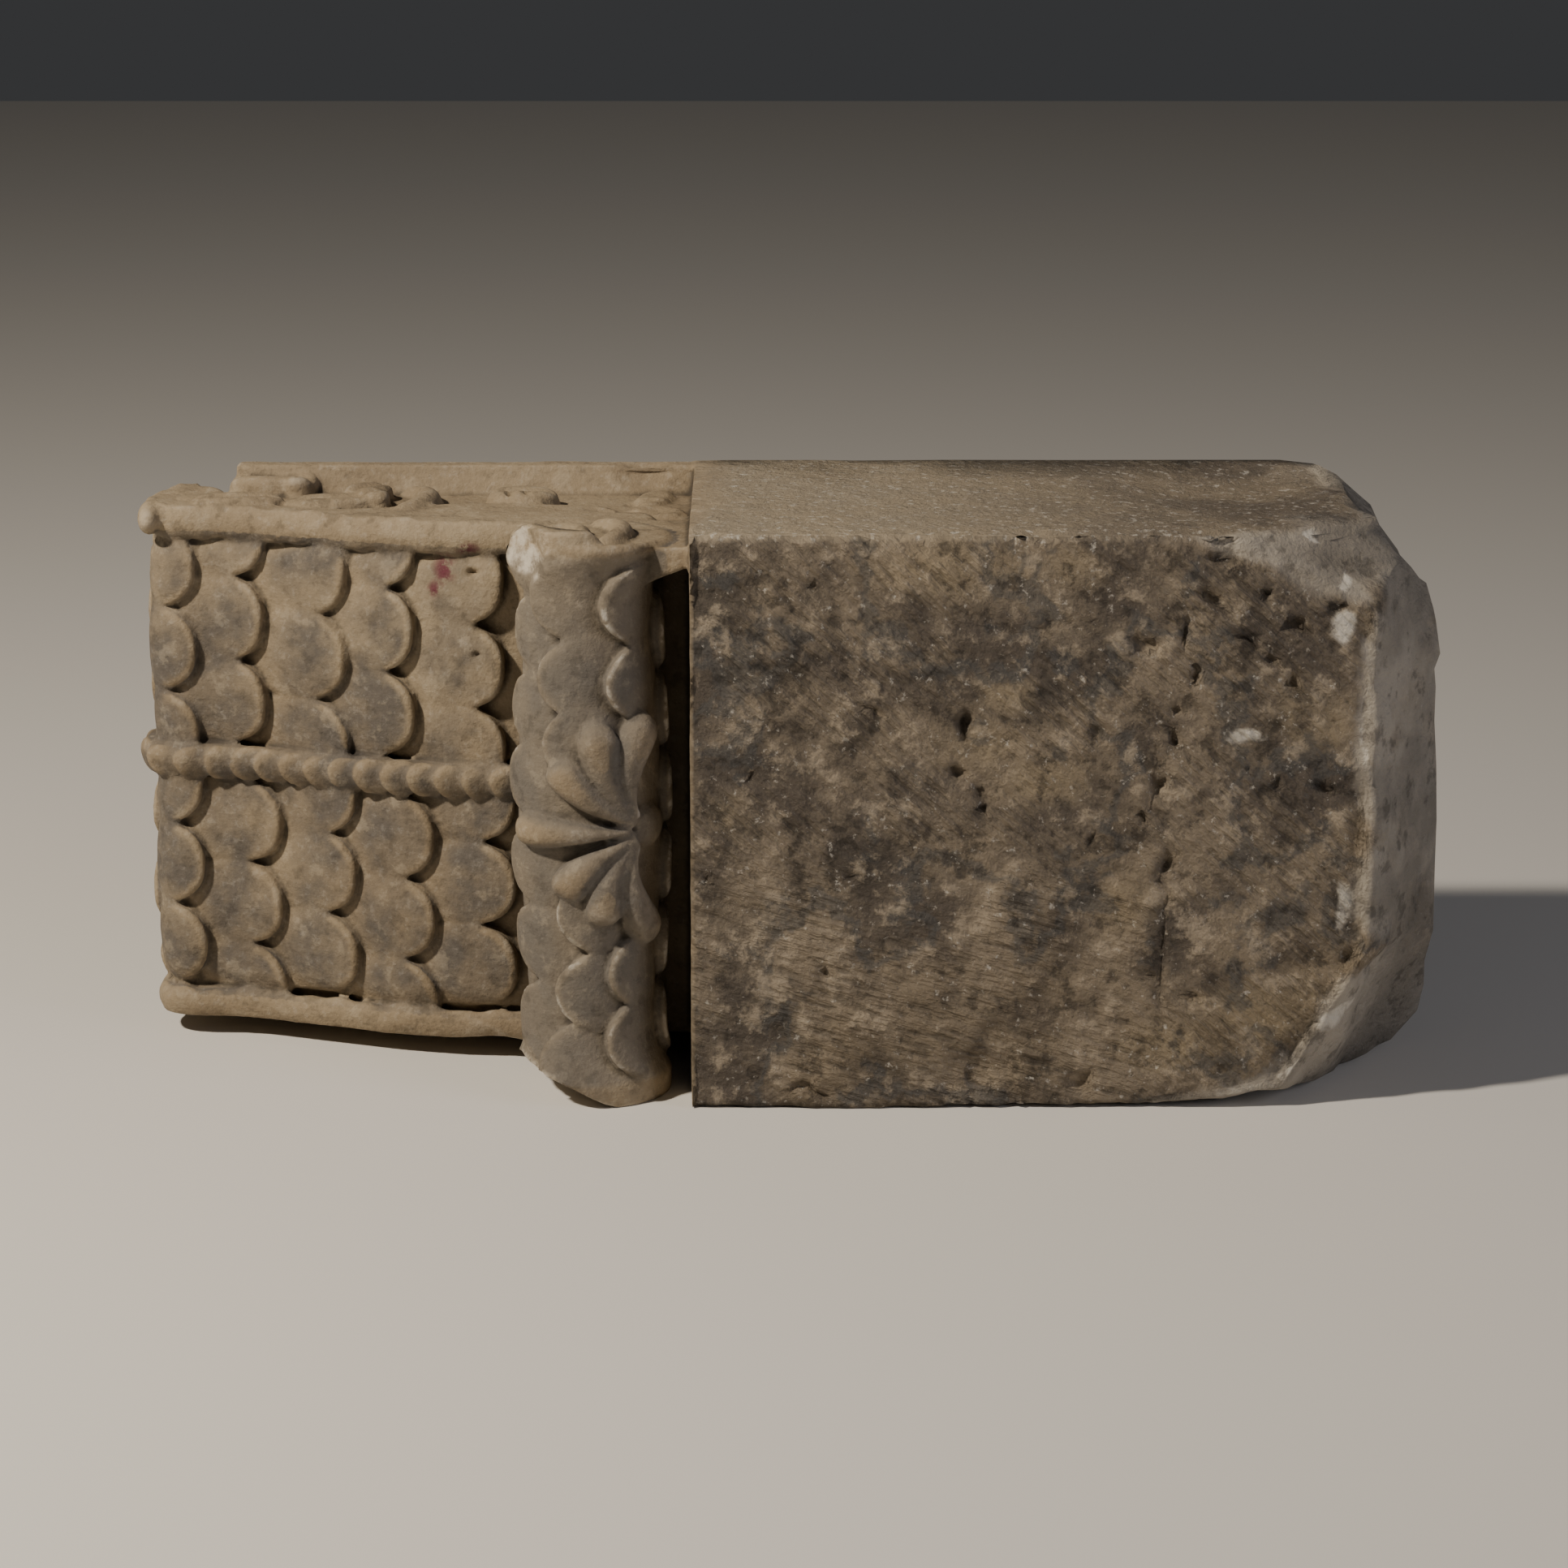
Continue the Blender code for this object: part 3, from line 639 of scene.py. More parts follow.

# %% [markdown]
# ## The side faces
# Each side of the scroll shows a volute of soft leaves near the nose, an outer crescent, a small
# drilled bud and a spray beside the tail; the upper side also shows the spiral end of the roll.
# All of them are low pillows on the side face, and drill holes go in later as dents.


# %% Leaves, bud, and the eye of the roll
def petal(centre, half_length, half_width, degrees, rise, side):
    """A pillow on a side face, with a shallow groove along its middle."""
    c, s = math.cos(math.radians(degrees)), math.sin(math.radians(degrees))

    def place(u, w, h):
        x, y = u * half_length, w * half_width
        full = np.sign(h) * (1.25 * np.abs(h) ** 0.5 - 0.32 * h * h) * (1 - 0.30 * np.exp(-(w / 0.22) ** 2))
        across = side * (HALF_CORE + rise * full)
        return np.column_stack((centre[0] + x * c - y * s, centre[1] + x * s + y * c, across))

    pebble(place, 32, 16)


def make_side_leaves():
    """Place, half length, half width, turn and rise of each leaf, lower on the side that bore the load."""
    unit = NOSE_THICKNESS
    leaves = (
        (0.053, HEIGHT - 0.80 * unit, 0.025, 0.0115, 5, 0.85),
        (0.101, HEIGHT - 0.82 * unit, 0.024, 0.0120, 8, 0.80),
        (0.122, HEIGHT - 0.74 * unit, 0.008, 0.0110, 30, 1.05),
        (0.118, HEIGHT - 0.50 * unit, 0.014, 0.0110, 40, 0.95),
        (0.066, HEIGHT - 0.21 * unit, 0.022, 0.0120, -4, 1.12),
        (0.082, HEIGHT - 0.28 * unit, 0.008, 0.0110, -25, 1.20),
        (0.030, HEIGHT - 0.50 * unit, 0.016, 0.0200, 25, 0.55),
        (ROLL_X - 1.10 * ROLL_RADIUS, HEIGHT - 0.72 * unit, 0.019, 0.0130, 0, 1.05),
        (TAIL_START - 0.26 * unit, HEIGHT - 1.00 * unit, 0.015, 0.0100, -30, 0.35),
        (TAIL_START - 0.30 * unit, HEIGHT - 0.50 * unit, 0.009, 0.0180, -12, 0.35),
    )
    for side, share in ((1, 1.0), (-1, 0.55)):
        for x, y, length, width, degrees, rise in leaves:
            petal((x, y), length, width, degrees, share * rise * LEAF_RISE, side)
        arc((0.117, HEIGHT - 0.68 * unit), 0.033, -5, 62, 0.0070, 0.0085 * share, side)

    def lip(u, w, h):
        return np.column_stack((0.0085 + 0.0065 * u, 0.126 + 0.015 * w, 0.1290 + 0.0085 * h))

    pebble(lip)


def arc(centre, radius, middle, half_turn, tube, rise, side, base=HALF_CORE):
    """A crescent on a side face, thick in the middle and pointed at both ends."""

    def place(w, h, u):
        ring = np.maximum(1e-6, np.sqrt(1 - np.minimum(1.0, u * u)))
        taper = np.sqrt(np.clip(1 - u * u, 0, 1)) ** 0.8
        angle = np.radians(middle + half_turn * u)
        out = radius + tube * taper * w / ring
        x = centre[0] + out * np.cos(angle)
        return np.column_stack((x, centre[1] + out * np.sin(angle), side * (base + rise * taper * h / ring)))

    pebble(place, 20, 40)


def make_roll_eye():
    """The spiral end of the roll: a rim, an outer turn and a pointed eye."""
    arc((ROLL_X, ROLL_Y), 0.0355, 215, 125, 0.0035, 0.0030, 1, ROLL_TOP)
    arc((ROLL_X - 0.011, ROLL_Y), 0.0270, 5, 60, 0.0060, 0.0065, 1, ROLL_TOP)
    arc((ROLL_X - 0.013, ROLL_Y - 0.003), 0.0095, 70, 120, 0.0055, 0.0055, 1, ROLL_TOP)


make_side_leaves()
make_roll_eye()
print(len(shells), "shells with the carving")

# %% [markdown]
# ## The tail
# The tail went into the wall, so it was only squared with a claw chisel. Its far end is broken:
# a few planes cut the plain block before fusing, each cut is closed again with a flat face, and
# the relief of the fracture follows later. A plane is given by shares of the reach of the break,
# of the height and of the half width, and by its direction.

# %% The squared tail
BREAKS = (
    (0.22, 0.0, 0.0, (0.83, -0.55, 0.0)),
    (0.005, 0.5, -0.25, (0.985, 0.10, 0.06)),
    (0.226, 0.5, 1.0, (0.73, 0.10, 0.68)),
    (0.263, 0.0, -0.52, (0.733, -0.543, -0.404)),
    (0.863, 0.0, -1.0, (0.12, -0.25, -0.96)),
    (0.58, 0.0, 1.0, (0.335, -0.689, 0.643)),
    (0.105, 1.0, -0.6, (0.70, 0.45, -0.55)),
)


def make_tail():
    box((TAIL_START, 0.0, -HALF_TAIL), (LENGTH, HEIGHT, HALF_TAIL))
    verts, faces = shells.pop()
    bm = bmesh.new()
    points = [bm.verts.new(v) for v in verts]
    for face in faces:
        bm.faces.new([points[k] for k in face])
    for back, up, across, normal in BREAKS:
        point = (LENGTH - back * BREAK_REACH, up * HEIGHT, across * HALF_TAIL)
        geometry = bm.verts[:] + bm.edges[:] + bm.faces[:]
        bmesh.ops.bisect_plane(bm, geom=geometry, plane_co=point, plane_no=normal, clear_outer=True)
        bmesh.ops.holes_fill(bm, edges=[e for e in bm.edges if e.is_boundary])
    bm.verts.ensure_lookup_table()
    bm.verts.index_update()
    shell([tuple(v.co) for v in bm.verts], [tuple(v.index for v in f.verts) for f in bm.faces])
    bm.free()


make_tail()

# %% [markdown]
# ## Fusing
# One block of marble has one skin. All shells go into one mesh, and a voxel remesh makes a
# single surface of them. Only its largest shell is kept, because pockets between carved forms
# would otherwise stay inside the stone.


# %% One skin
def fused_mesh():
    verts, faces, offset = [], [], 0
    for points, loops in shells:
        verts.append(points)
        faces += [tuple(k + offset for k in loop) for loop in loops]
        offset += len(points)
    rough = mesh_object("rough_block", np.vstack(verts), faces)
    remesh = rough.modifiers.new("fuse", "REMESH")
    remesh.mode = "VOXEL"
    remesh.voxel_size = GRID
    ready = rough.evaluated_get(bpy.context.evaluated_depsgraph_get())
    mesh = bpy.data.meshes.new_from_object(ready)
    bpy.data.objects.remove(rough, do_unlink=True)
    return mesh


def largest_shell(count, edges):
    """A label spread along the edges until each shell has one, and the commonest label."""
    label = np.arange(count)
    while True:
        low = np.minimum(label[edges[:, 0]], label[edges[:, 1]])
        after = label.copy()
        np.minimum.at(after, edges[:, 0], low)
        np.minimum.at(after, edges[:, 1], low)
        after = after[after]
        if np.array_equal(after, label):
            break
        label = after
    return label == np.bincount(label).argmax()


fused = fused_mesh()
co = np.empty(len(fused.vertices) * 3)
fused.vertices.foreach_get("co", co)
co = co.reshape(-1, 3)
quads = np.empty(len(fused.polygons) * 4, np.int64)
fused.polygons.foreach_get("vertices", quads)
quads = quads.reshape(-1, 4)
edges = np.empty(len(fused.edges) * 2, np.int64)
fused.edges.foreach_get("vertices", edges)
edges = edges.reshape(-1, 2)
outer = largest_shell(len(co), edges)
renumber = np.cumsum(outer) - 1
quads = renumber[quads[outer[quads[:, 0]]]]
edges = renumber[edges[outer[edges[:, 0]]]]
print("inner points dropped", int((~outer).sum()), "skin points", int(outer.sum()), seconds())
co = co[outer]

# %% [markdown]
# ## Wear, breaks and tool marks
# Time rounded the carving and knocked its edges. The arrays make this direct: each point knows
# its neighbours, so a smoothed copy of the skin tells which points stand proud and which lie in
# a hollow. Proud edges are worn and chipped, hollows stay sharp, and seeded noise gives the
# breaks, the pits and the slight unevenness of hand work.

# %% Neighbours, normals and noise
degree = np.bincount(edges.ravel(), minlength=len(co)).astype(float)


def around_mean(values):
    """The mean of each point's neighbours, for one array of numbers or of points."""
    if values.ndim == 2:
        return np.column_stack([around_mean(values[:, k]) for k in range(values.shape[1])])
    a, b = edges.T
    total = np.bincount(a, values[b], len(values)) + np.bincount(b, values[a], len(values))
    return total / degree


def smoothed(values, passes, share=0.5):
    for _ in range(passes):
        values = values + share * (around_mean(values) - values)
    return values


def normals_of(points):
    a, b = points[quads[:, 2]] - points[quads[:, 0]], points[quads[:, 3]] - points[quads[:, 1]]
    flat = np.cross(a, b)
    total = np.zeros_like(points)
    for corner in range(4):
        for axis in range(3):
            total[:, axis] += np.bincount(quads[:, corner], flat[:, axis], len(points))
    return total / np.maximum(1e-12, np.linalg.norm(total, axis=1))[:, None]


def noise(points, size, seed):
    """Smooth random values from -1 to 1 whose features are about one size wide."""
    place = points / size + seed * 7.31
    cell = np.floor(place).astype(np.int64)
    f = place - cell
    f = f * f * (3 - 2 * f)
    total = np.zeros(len(points))
    for corner in range(8):
        step = np.array((corner & 1, corner >> 1 & 1, corner >> 2 & 1))
        key = (cell + step) @ np.array((73856093, 19349663, 83492791)) + seed * 668265263
        key = (key ^ (key >> 13)) * 1274126177 & 0x7FFFFFFF
        key = (key ^ (key >> 11)) * 73244475 & 0x7FFFFFFF
        value = (key >> 8 & 0xFFFF) / 32767.5 - 1
        total += value * np.prod(np.where(step, f, 1 - f), axis=1)
    return total


def rugged(points, size, seed, octaves=4):
    """Noise summed over octaves, each half as large and half as strong."""
    return sum(noise(points, size / 2 ** k, seed + k) / 2 ** k for k in range(octaves)) / 1.5


# %% Zones of the block
co = smoothed(co, 1)
normal = normals_of(co)
if normal[np.argmin(co[:, 0]), 0] > 0:
    normal = -normal
x, y, z = co.T
from_roll = np.hypot(x - ROLL_X, y - ROLL_Y)
broken = np.zeros(len(co))
to_break = np.full(len(co), -1.0)
for back, up, across, plane in BREAKS:
    point = np.array((LENGTH - back * BREAK_REACH, up * HEIGHT, across * HALF_TAIL))
    away = (co - point) @ (np.array(plane) / np.linalg.norm(plane))
    broken = np.maximum(broken, smoothstep(1 + (away + 0.0005) / 0.003))
    to_break = np.maximum(to_break, away)
tail = smoothstep((x - TAIL_START + 0.001) / 0.004)
roll = smoothstep((ROLL_RADIUS + 0.012 - from_roll) / 0.004) * (1 - tail)
broken *= tail
blurred = smoothed(co, 40)
proud = np.einsum("ij,ij->i", normal, co - blurred)
print("proud range mm", (proud.min() * 1000).round(2), (proud.max() * 1000).round(2), seconds())


# %% Height over the carved surfaces
def field_table(cell):
    """Signed distance out of the carved line, on a table over the side view."""
    xs = np.arange(-0.01, TAIL_START + 0.01, cell)
    ys = np.arange(-0.01, HEIGHT + 0.01, cell)
    path, normals = on_path(np.linspace(0, PATH_LENGTH, 300))
    grid = np.stack(np.meshgrid(xs, ys, indexing="ij"), -1).reshape(-1, 1, 2)
    nearest = ((grid - path) ** 2).sum(-1).argmin(1)
    out = np.einsum("ij,ij->i", grid[:, 0] - path[nearest], normals[nearest])
    return xs, ys, out.reshape(len(xs), len(ys))


def look_up(table, x, y):
    xs, ys, values = table
    cell = xs[1] - xs[0]
    i = np.clip((x - xs[0]) / cell, 0, len(xs) - 1.001)
    j = np.clip((y - ys[0]) / cell, 0, len(ys) - 1.001)
    i0, j0 = i.astype(int), j.astype(int)
    a, b = i - i0, j - j0
    low = values[i0, j0] * (1 - b) + values[i0, j0 + 1] * b
    high = values[i0 + 1, j0] * (1 - b) + values[i0 + 1, j0 + 1] * b
    return low * (1 - a) + high * a


over_field = look_up(field_table(0.001), x, y)
over_roll = from_roll - roll_radius(z)
on_field = (np.abs(z) < HALF_FIELD - 0.001) & (np.abs(over_field) < 0.016) & (x < TAIL_START)
on_field &= (y < NOSE_TOP - 0.006) | (x < NOSE_X)
bulge = np.sin(np.pi * np.minimum(1.0, np.abs(z) / HALF_FIELD))
over_field = over_field + FIELD_RECESS * (1 - 0.5 * bulge)
lift = np.where(roll > 0.5, over_roll, np.where(on_field, over_field, -0.004))
lift = np.clip(lift / 0.006, -1.5, 1.5)
upper = tail * (1 - broken) * smoothstep((z - HALF_TAIL + 0.004) / 0.002)
bed = (1 - broken) * smoothstep((y - HEIGHT + 0.004) / 0.002)
print("lift over the field", np.percentile(lift[on_field], (5, 50, 95)).round(2))


# %% Dents and stains, and where they are seen
# The photograph was taken from 15 degrees above. Distances in it are in pixels: a pixel's size on
# the stone, the picture's middle, how far away the camera is, and where the block's origin lies.
PIXEL, MIDDLE, CAMERA_FAR = 0.0004, 966, 6000
CAMERA_TILT = math.radians(15)
ORIGIN_LEFT, ORIGIN_UP = 831, 52


def near_face(u, v):
    """The place on the tail's near face that the photograph shows at a pixel."""
    x, z = 0.0, 0.0
    for _ in range(3):
        depth = (CAMERA_FAR - z * math.sin(CAMERA_TILT) / PIXEL) / CAMERA_FAR
        x = PIXEL * ((u - MIDDLE) * depth + ORIGIN_LEFT)
        z = PIXEL * (ORIGIN_UP - (v - MIDDLE) * depth) / math.cos(CAMERA_TILT)
    return x, z


# White, warm and dark patches and dents on the near face: pixel, half sizes, turn and depth in mm.
WHITES = (
    (1660, 770, 17, 28, -20), (1664, 715, 12, 10, 0), (1656, 1116, 17, 42, 10), (1683, 915, 5, 42, 5),
    (1642, 1252, 36, 10, 40), (1592, 1313, 26, 8, 45), (1624, 662, 22, 6, -50), (1534, 905, 32, 13, 5),
)
WARM = (
    (1175, 700, 95, 38, 0), (1200, 915, 52, 36, 0), (1232, 850, 40, 28, 0), (1290, 965, 60, 30, 0),
    (1350, 700, 60, 32, 0), (1615, 900, 50, 70, 0), (1440, 1290, 70, 30, 0), (900, 1000, 26, 30, 0),
    (1390, 1110, 34, 40, 0), (1560, 1250, 70, 50, 0),
)
DARK = (
    (1110, 668, 75, 12, 0), (900, 745, 55, 38, -40), (985, 920, 110, 34, 10), (1305, 880, 55, 38, 0),
    (1390, 790, 60, 22, -25), (1500, 760, 50, 40, -30), (1080, 1060, 90, 40, 20), (900, 1130, 40, 90, 0),
    (1160, 1300, 110, 36, 0), (1440, 1060, 20, 130, 0), (960, 1250, 80, 40, 0), (1010, 760, 16, 60, 30),
)
DENTS = (
    (858, 705, 14, 42, 0, 2.0), (1205, 1318, 62, 42, 0, 4.5), (1560, 660, 26, 14, 0, 4.0),
    (1505, 690, 22, 12, -20, 3.0), (1330, 1330, 20, 12, 0, 3.0), (1000, 1345, 26, 8, 0, 2.5),
    (1492, 740, 17, 8, -35, 4.0), (1560, 730, 14, 7, -10, 3.5), (1600, 772, 15, 8, -30, 5.0),
    (1412, 797, 16, 7, -45, 3.5), (1472, 832, 12, 6, -40, 4.0), (1462, 785, 18, 5, 80, 3.0),
    (1530, 795, 20, 6, -35, 3.0), (1560, 812, 13, 7, -20, 3.0), (1587, 842, 9, 7, 60, 3.0),
    (1645, 755, 10, 8, 0, 3.0), (1625, 710, 16, 6, -20, 3.0), (1455, 880, 10, 6, -60, 3.0),
    (1445, 910, 14, 5, -60, 3.0), (1355, 907, 16, 8, -30, 2.5), (1432, 965, 8, 12, 10, 4.0),
    (1436, 1060, 9, 14, 10, 4.0), (1405, 1007, 10, 6, -20, 2.5), (1640, 970, 7, 10, 20, 3.0),
    (1572, 965, 9, 6, 10, 2.0), (1412, 1205, 14, 5, -15, 2.0), (1465, 1232, 15, 8, -10, 2.0),
    (1185, 892, 12, 16, 10, 4.0), (1180, 955, 10, 11, 0, 3.5), (1210, 987, 18, 6, -50, 3.0),
    (930, 950, 8, 10, 10, 2.5), (1080, 877, 12, 6, -20, 2.5), (1002, 720, 4, 10, 20, 2.0),
    (1025, 1200, 9, 7, -60, 3.0), (877, 1085, 8, 8, 0, 2.0), (1045, 1085, 8, 5, 20, 2.0),
    (1300, 770, 110, 4, 4, 1.2), (1240, 770, 60, 4, -14, 1.2), (1345, 1035, 7, 6, 0, 1.5),
    (1435, 1150, 5, 120, 0, 1.6), (1428, 960, 6, 60, 5, 1.8),
)


def oval(x, z, centre, long, wide, degrees=0.0):
    """One inside an oval of these half sizes, falling to nought a little outside it."""
    turn = math.radians(degrees)
    a = ((x - centre[0]) * math.cos(turn) + (z - centre[1]) * math.sin(turn)) / long
    b = ((z - centre[1]) * math.cos(turn) - (x - centre[0]) * math.sin(turn)) / wide
    return smoothstep((1.5 - np.hypot(a, b)) / 1.2)


def near_ovals(x, z, spots):
    """The strongest of several ovals on the near face, given by pixel, half sizes and turn."""
    most = np.zeros(len(x))
    for u, v, long, wide, degrees, *deep in spots:
        inside = oval(x, z, near_face(u, v), PIXEL * long, PIXEL * wide, degrees)
        most = np.maximum(most, inside * (deep[0] if deep else 1.0))
    return most


# Drilled holes and knocks on the soffit (x, z) and on the upper side face (x, y), with their depths.
SOFFIT_PITS = ((0.1757, 0.1110, 0.0030, 0.0019, 0.0045), (0.1773, 0.0687, 0.0020, 0.0020, 0.0030))
SIDE_PITS = (
    (0.1925, 0.1300, 0.0022, 0.0030, 0.0060), (0.2010, 0.1300, 0.0020, 0.0028, 0.0055),
    (0.2540, 0.1130, 0.0200, 0.0060, 0.0030), (0.2600, 0.1750, 0.0130, 0.0060, 0.0025),
    (0.2600, 0.1420, 0.0080, 0.0040, 0.0030),
)
STAINS = (
    (0.1614, 0.1114, 0.0050, 0.0080), (0.1736, 0.1230, 0.0060, 0.0030), (0.1560, 0.1010, 0.0030, 0.0040),
)


def weather(points):
    """How far each point moves out along its normal."""
    x, y, z = points.T
    shift = np.zeros(len(points))
    carved = 1 - tail
    shift += carved * (0.00030 * noise(points, 0.028, 1) + 0.00016 * rugged(points, 0.009, 2))
    edge = smoothstep((proud - 0.0010) / 0.0016)
    shift -= edge * carved * (0.0004 + 0.0010 * np.clip(rugged(points, 0.010, 5), 0, 1))
    rough = tail * (1 - broken)
    near = rough * smoothstep((0.012 - y) / 0.006)
    shift += rough * (0.0005 * rugged(points, 0.030, 9) + 0.0002 * rugged(points, 0.010, 12))
    shift += near * (0.0013 * rugged(points, 0.045, 29) + 0.0012 * rugged(points, 0.011, 31) - 0.0012)
    warp = points + 0.007 * np.column_stack((rugged(points, 0.012, 33), 0 * x, rugged(points, 0.012, 34)))
    deep = 0.0012 * near_ovals(warp[:, 0], warp[:, 2], DENTS)
    shift -= upper * 0.0055 * oval(x, y, (0.558, 0.123), 0.046, 0.045) * (1 + 0.4 * noise(points, 0.02, 43))
    shift -= near * deep * (1 + 0.3 * noise(points, 0.006, 35))
    far_edge = rough * edge * smoothstep((x - 0.44) / 0.05)
    shift -= far_edge * 0.006 * np.clip(rugged(points, 0.030, 37) + 0.1, 0, 1)
    for cx, cz, long, wide, deep in SOFFIT_PITS:
        shift -= carved * (y < 0.11) * deep * oval(x, z, (cx, cz), long, wide)
    knocked = carved * (z > HALF_CORE - 0.003) * (normal[:, 2] > 0.3) * (1 + 0.5 * noise(points, 0.005, 39))
    for cx, cy, long, wide, deep in SIDE_PITS:
        shift -= knocked * deep * oval(x, y, (cx, cy), long, wide)
    shift -= rough * edge * (0.0006 + 0.0026 * np.clip(rugged(points, 0.018, 15) - 0.05, 0, 1))
    crumbled = rough * smoothstep((to_break + 0.011) / 0.008)
    shift -= crumbled * 0.0055 * np.clip(rugged(points, 0.024, 47) + 0.15, 0, 1)
    shift += broken * (0.0060 * rugged(points, 0.085, 20, 3) + 0.0016 * rugged(points, 0.014, 24))
    shift -= broken * (0.0050 * np.abs(noise(points, 0.075, 27)) - 0.0026 * np.abs(noise(points, 0.024, 28)))
    return shift


to_front = tail * smoothstep((0.055 - y) / 0.02)
ragged = 0.007 * np.column_stack((rugged(co, 0.018, 51), rugged(co, 0.018, 53)))
ridge = to_front * near_ovals(x + ragged[:, 0], z + ragged[:, 1], WHITES)
fresh = tail * smoothstep((to_break + 0.006 + 0.009 * rugged(co, 0.030, 49)) / 0.004)
warm, dark = to_front * near_ovals(x, z, WARM), to_front * near_ovals(x, z, DARK)
stain = np.zeros(len(co))
for cx, cz, long, wide in STAINS:
    stain = np.maximum(stain, (y < 0.11) * (1 - tail) * oval(x, z, (cx, cz), long, wide))
co = co + (0.55 * broken)[:, None] * (blurred - co)
shift = weather(co)
co = co + normal * shift[:, None]
co[:, 2] = np.clip(co[:, 2], -HALF_TAIL, HALF_TAIL)
co[:, 1] = np.minimum(co[:, 1], HEIGHT)
CHIPS = (
    ((ROLL_X - 0.0335, ROLL_Y - 0.0155, 0.128), (-0.80, -0.55, 0.20), 0.024),
    ((ROLL_X - 0.0260, ROLL_Y - 0.0100, -0.133), (-0.42, -0.15, -0.89), 0.046),
)
chipped = np.zeros(len(co))
for centre, direction, radius in CHIPS:
    direction = np.array(direction) / np.linalg.norm(direction)
    beyond = (co - np.array(centre)) @ direction - 0.0012 * rugged(co, 0.012, 41)
    local = smoothstep(1.6 - np.linalg.norm(co - np.array(centre), axis=1) / radius)
    chipped = np.maximum(chipped, local * smoothstep(beyond / 0.0015))
    co = co - direction * (np.maximum(0.0, beyond) * local)[:, None]
print("displaced mm", (shift.min() * 1000).round(2), (shift.max() * 1000).round(2), seconds())

# %% [markdown]
# ## Facets and paint masks
# The dense skin is thinned where it is flat, so that the triangles stay on the carving. Before
# that, each point keeps what the paint needs to know about it: whether it stands proud, lies in
# a hollow, or belongs to the roll, the tail or a break.


# %% Final mesh
def finished_block():
    mesh = bpy.data.meshes.new("modillion_marble")
    mesh.vertices.add(len(co))
    mesh.vertices.foreach_set("co", (co + ORIGIN).astype(np.float32).ravel())
    mesh.loops.add(quads.size)
    mesh.loops.foreach_set("vertex_index", quads.astype(np.int32).ravel())
    mesh.polygons.add(len(quads))
    mesh.polygons.foreach_set("loop_start", np.arange(0, quads.size, 4, dtype=np.int32))
    mesh.update(calc_edges=True)
    round_part = roll * (1 - smoothstep((np.abs(z) - HALF_SCROLL + 0.003) / 0.004))
    masks = {"proud": np.clip(proud / 0.002, -1, 1), "lift": lift, "roll": round_part, "broken": fresh}
    masks |= {"tail": np.maximum(tail, bed), "upper": np.maximum(upper, bed) * (1 - fresh), "ridge": ridge}
    masks |= {"chipped": chipped, "warm": warm, "dark": dark, "stain": stain}
    for name, values in masks.items():
        mask = mesh.attributes.new(name, "FLOAT", "POINT")
        mask.data.foreach_set("value", values.astype(np.float32))
    block = bpy.data.objects.new("modillion_marble", mesh)
    bpy.context.scene.collection.objects.link(block)
    plain = block.vertex_groups.new(name="plain")
    weight = np.where(tail > 0.5, np.where(y < 0.02, 0.65, 1.0), 0.45)
    for value in (0.45, 0.65, 1.0):
        plain.add(np.flatnonzero(weight == value).tolist(), value, "REPLACE")
    thin = block.modifiers.new("facets", "DECIMATE")
    thin.vertex_group = "plain"
    thin.ratio = min(1.0, TRIANGLES / (2 * len(quads)))
    final = bpy.data.meshes.new_from_object(block.evaluated_get(bpy.context.evaluated_depsgraph_get()))
    block.modifiers.clear()
    block.data = final
    final.name = "modillion_marble"
    bpy.data.meshes.remove(mesh)
    final.polygons.foreach_set("use_smooth", np.ones(len(final.polygons), bool))
    final.materials.clear()
    final.materials.append(stone)
    return block


block = finished_block()
count = sum(len(p.vertices) - 2 for p in block.data.polygons)
print("triangles", count, list(block.data.attributes.keys()), seconds())

# %% [markdown]
# ## The marble
# Buried marble turns from white to beige and grey-brown. Soot and earth hold on the broad tops
# of the scales, the rounded rims and the valleys stay warm, and knocked tips show white crystals.
# Deep hollows are darkened partly by earth and partly by painted shade. The chisel grooves and the
# pits of the small bumps get painted shade, and the crests of the bumps get painted light.
# The material reads only object coordinates and the masks, so it stays on the stone.


# %% Colours and nodes
def linear(code):
    """An sRGB hex colour as linear RGBA."""
    parts = [int(code[k:k + 2], 16) / 255 for k in (1, 3, 5)]
    return [p / 12.92 if p <= 0.04045 else ((p + 0.055) / 1.055) ** 2.4 for p in parts] + [1.0]


stone.use_nodes = True
tree = stone.node_tree
tree.nodes.clear()


def add(kind, inputs, output=0, **settings):
    return add_node(tree, kind, inputs, output, **settings)


def calc(operation, a, b=0.0, clamp=False):
    return add("ShaderNodeMath", {0: a, 1: b}, operation=operation, use_clamp=clamp)


def mix(share, a, b):
    return add("ShaderNodeMix", {0: share, 6: a, 7: b}, 2, data_type="RGBA", clamp_factor=True)


def times(*values):
    product = values[0]
    for value in values[1:]:
        product = calc("MULTIPLY", product, value)
    return product


def step(value, low, high):
    """A smooth change from nought to one as a value goes from low to high."""
    ends = {"Value": value, "From Min": low, "From Max": high}
    return add("ShaderNodeMapRange", ends, interpolation_type="SMOOTHSTEP")


def tint(base, value, low, high, share, colour):
    """The base colour, turned towards another where a value passes from low to high."""
    return mix(times(step(value, low, high), share), base, colour)


def mask(name):
    return add("ShaderNodeAttribute", {}, "Fac", attribute_name=name)


spot = add("ShaderNodeTexCoord", {}, "Object")


def noise_at(place, size_mm, detail, roughness):
    inputs = {"Vector": place, "Scale": 500 / size_mm, "Detail": detail, "Roughness": roughness}
    return add("ShaderNodeTexNoise", inputs)


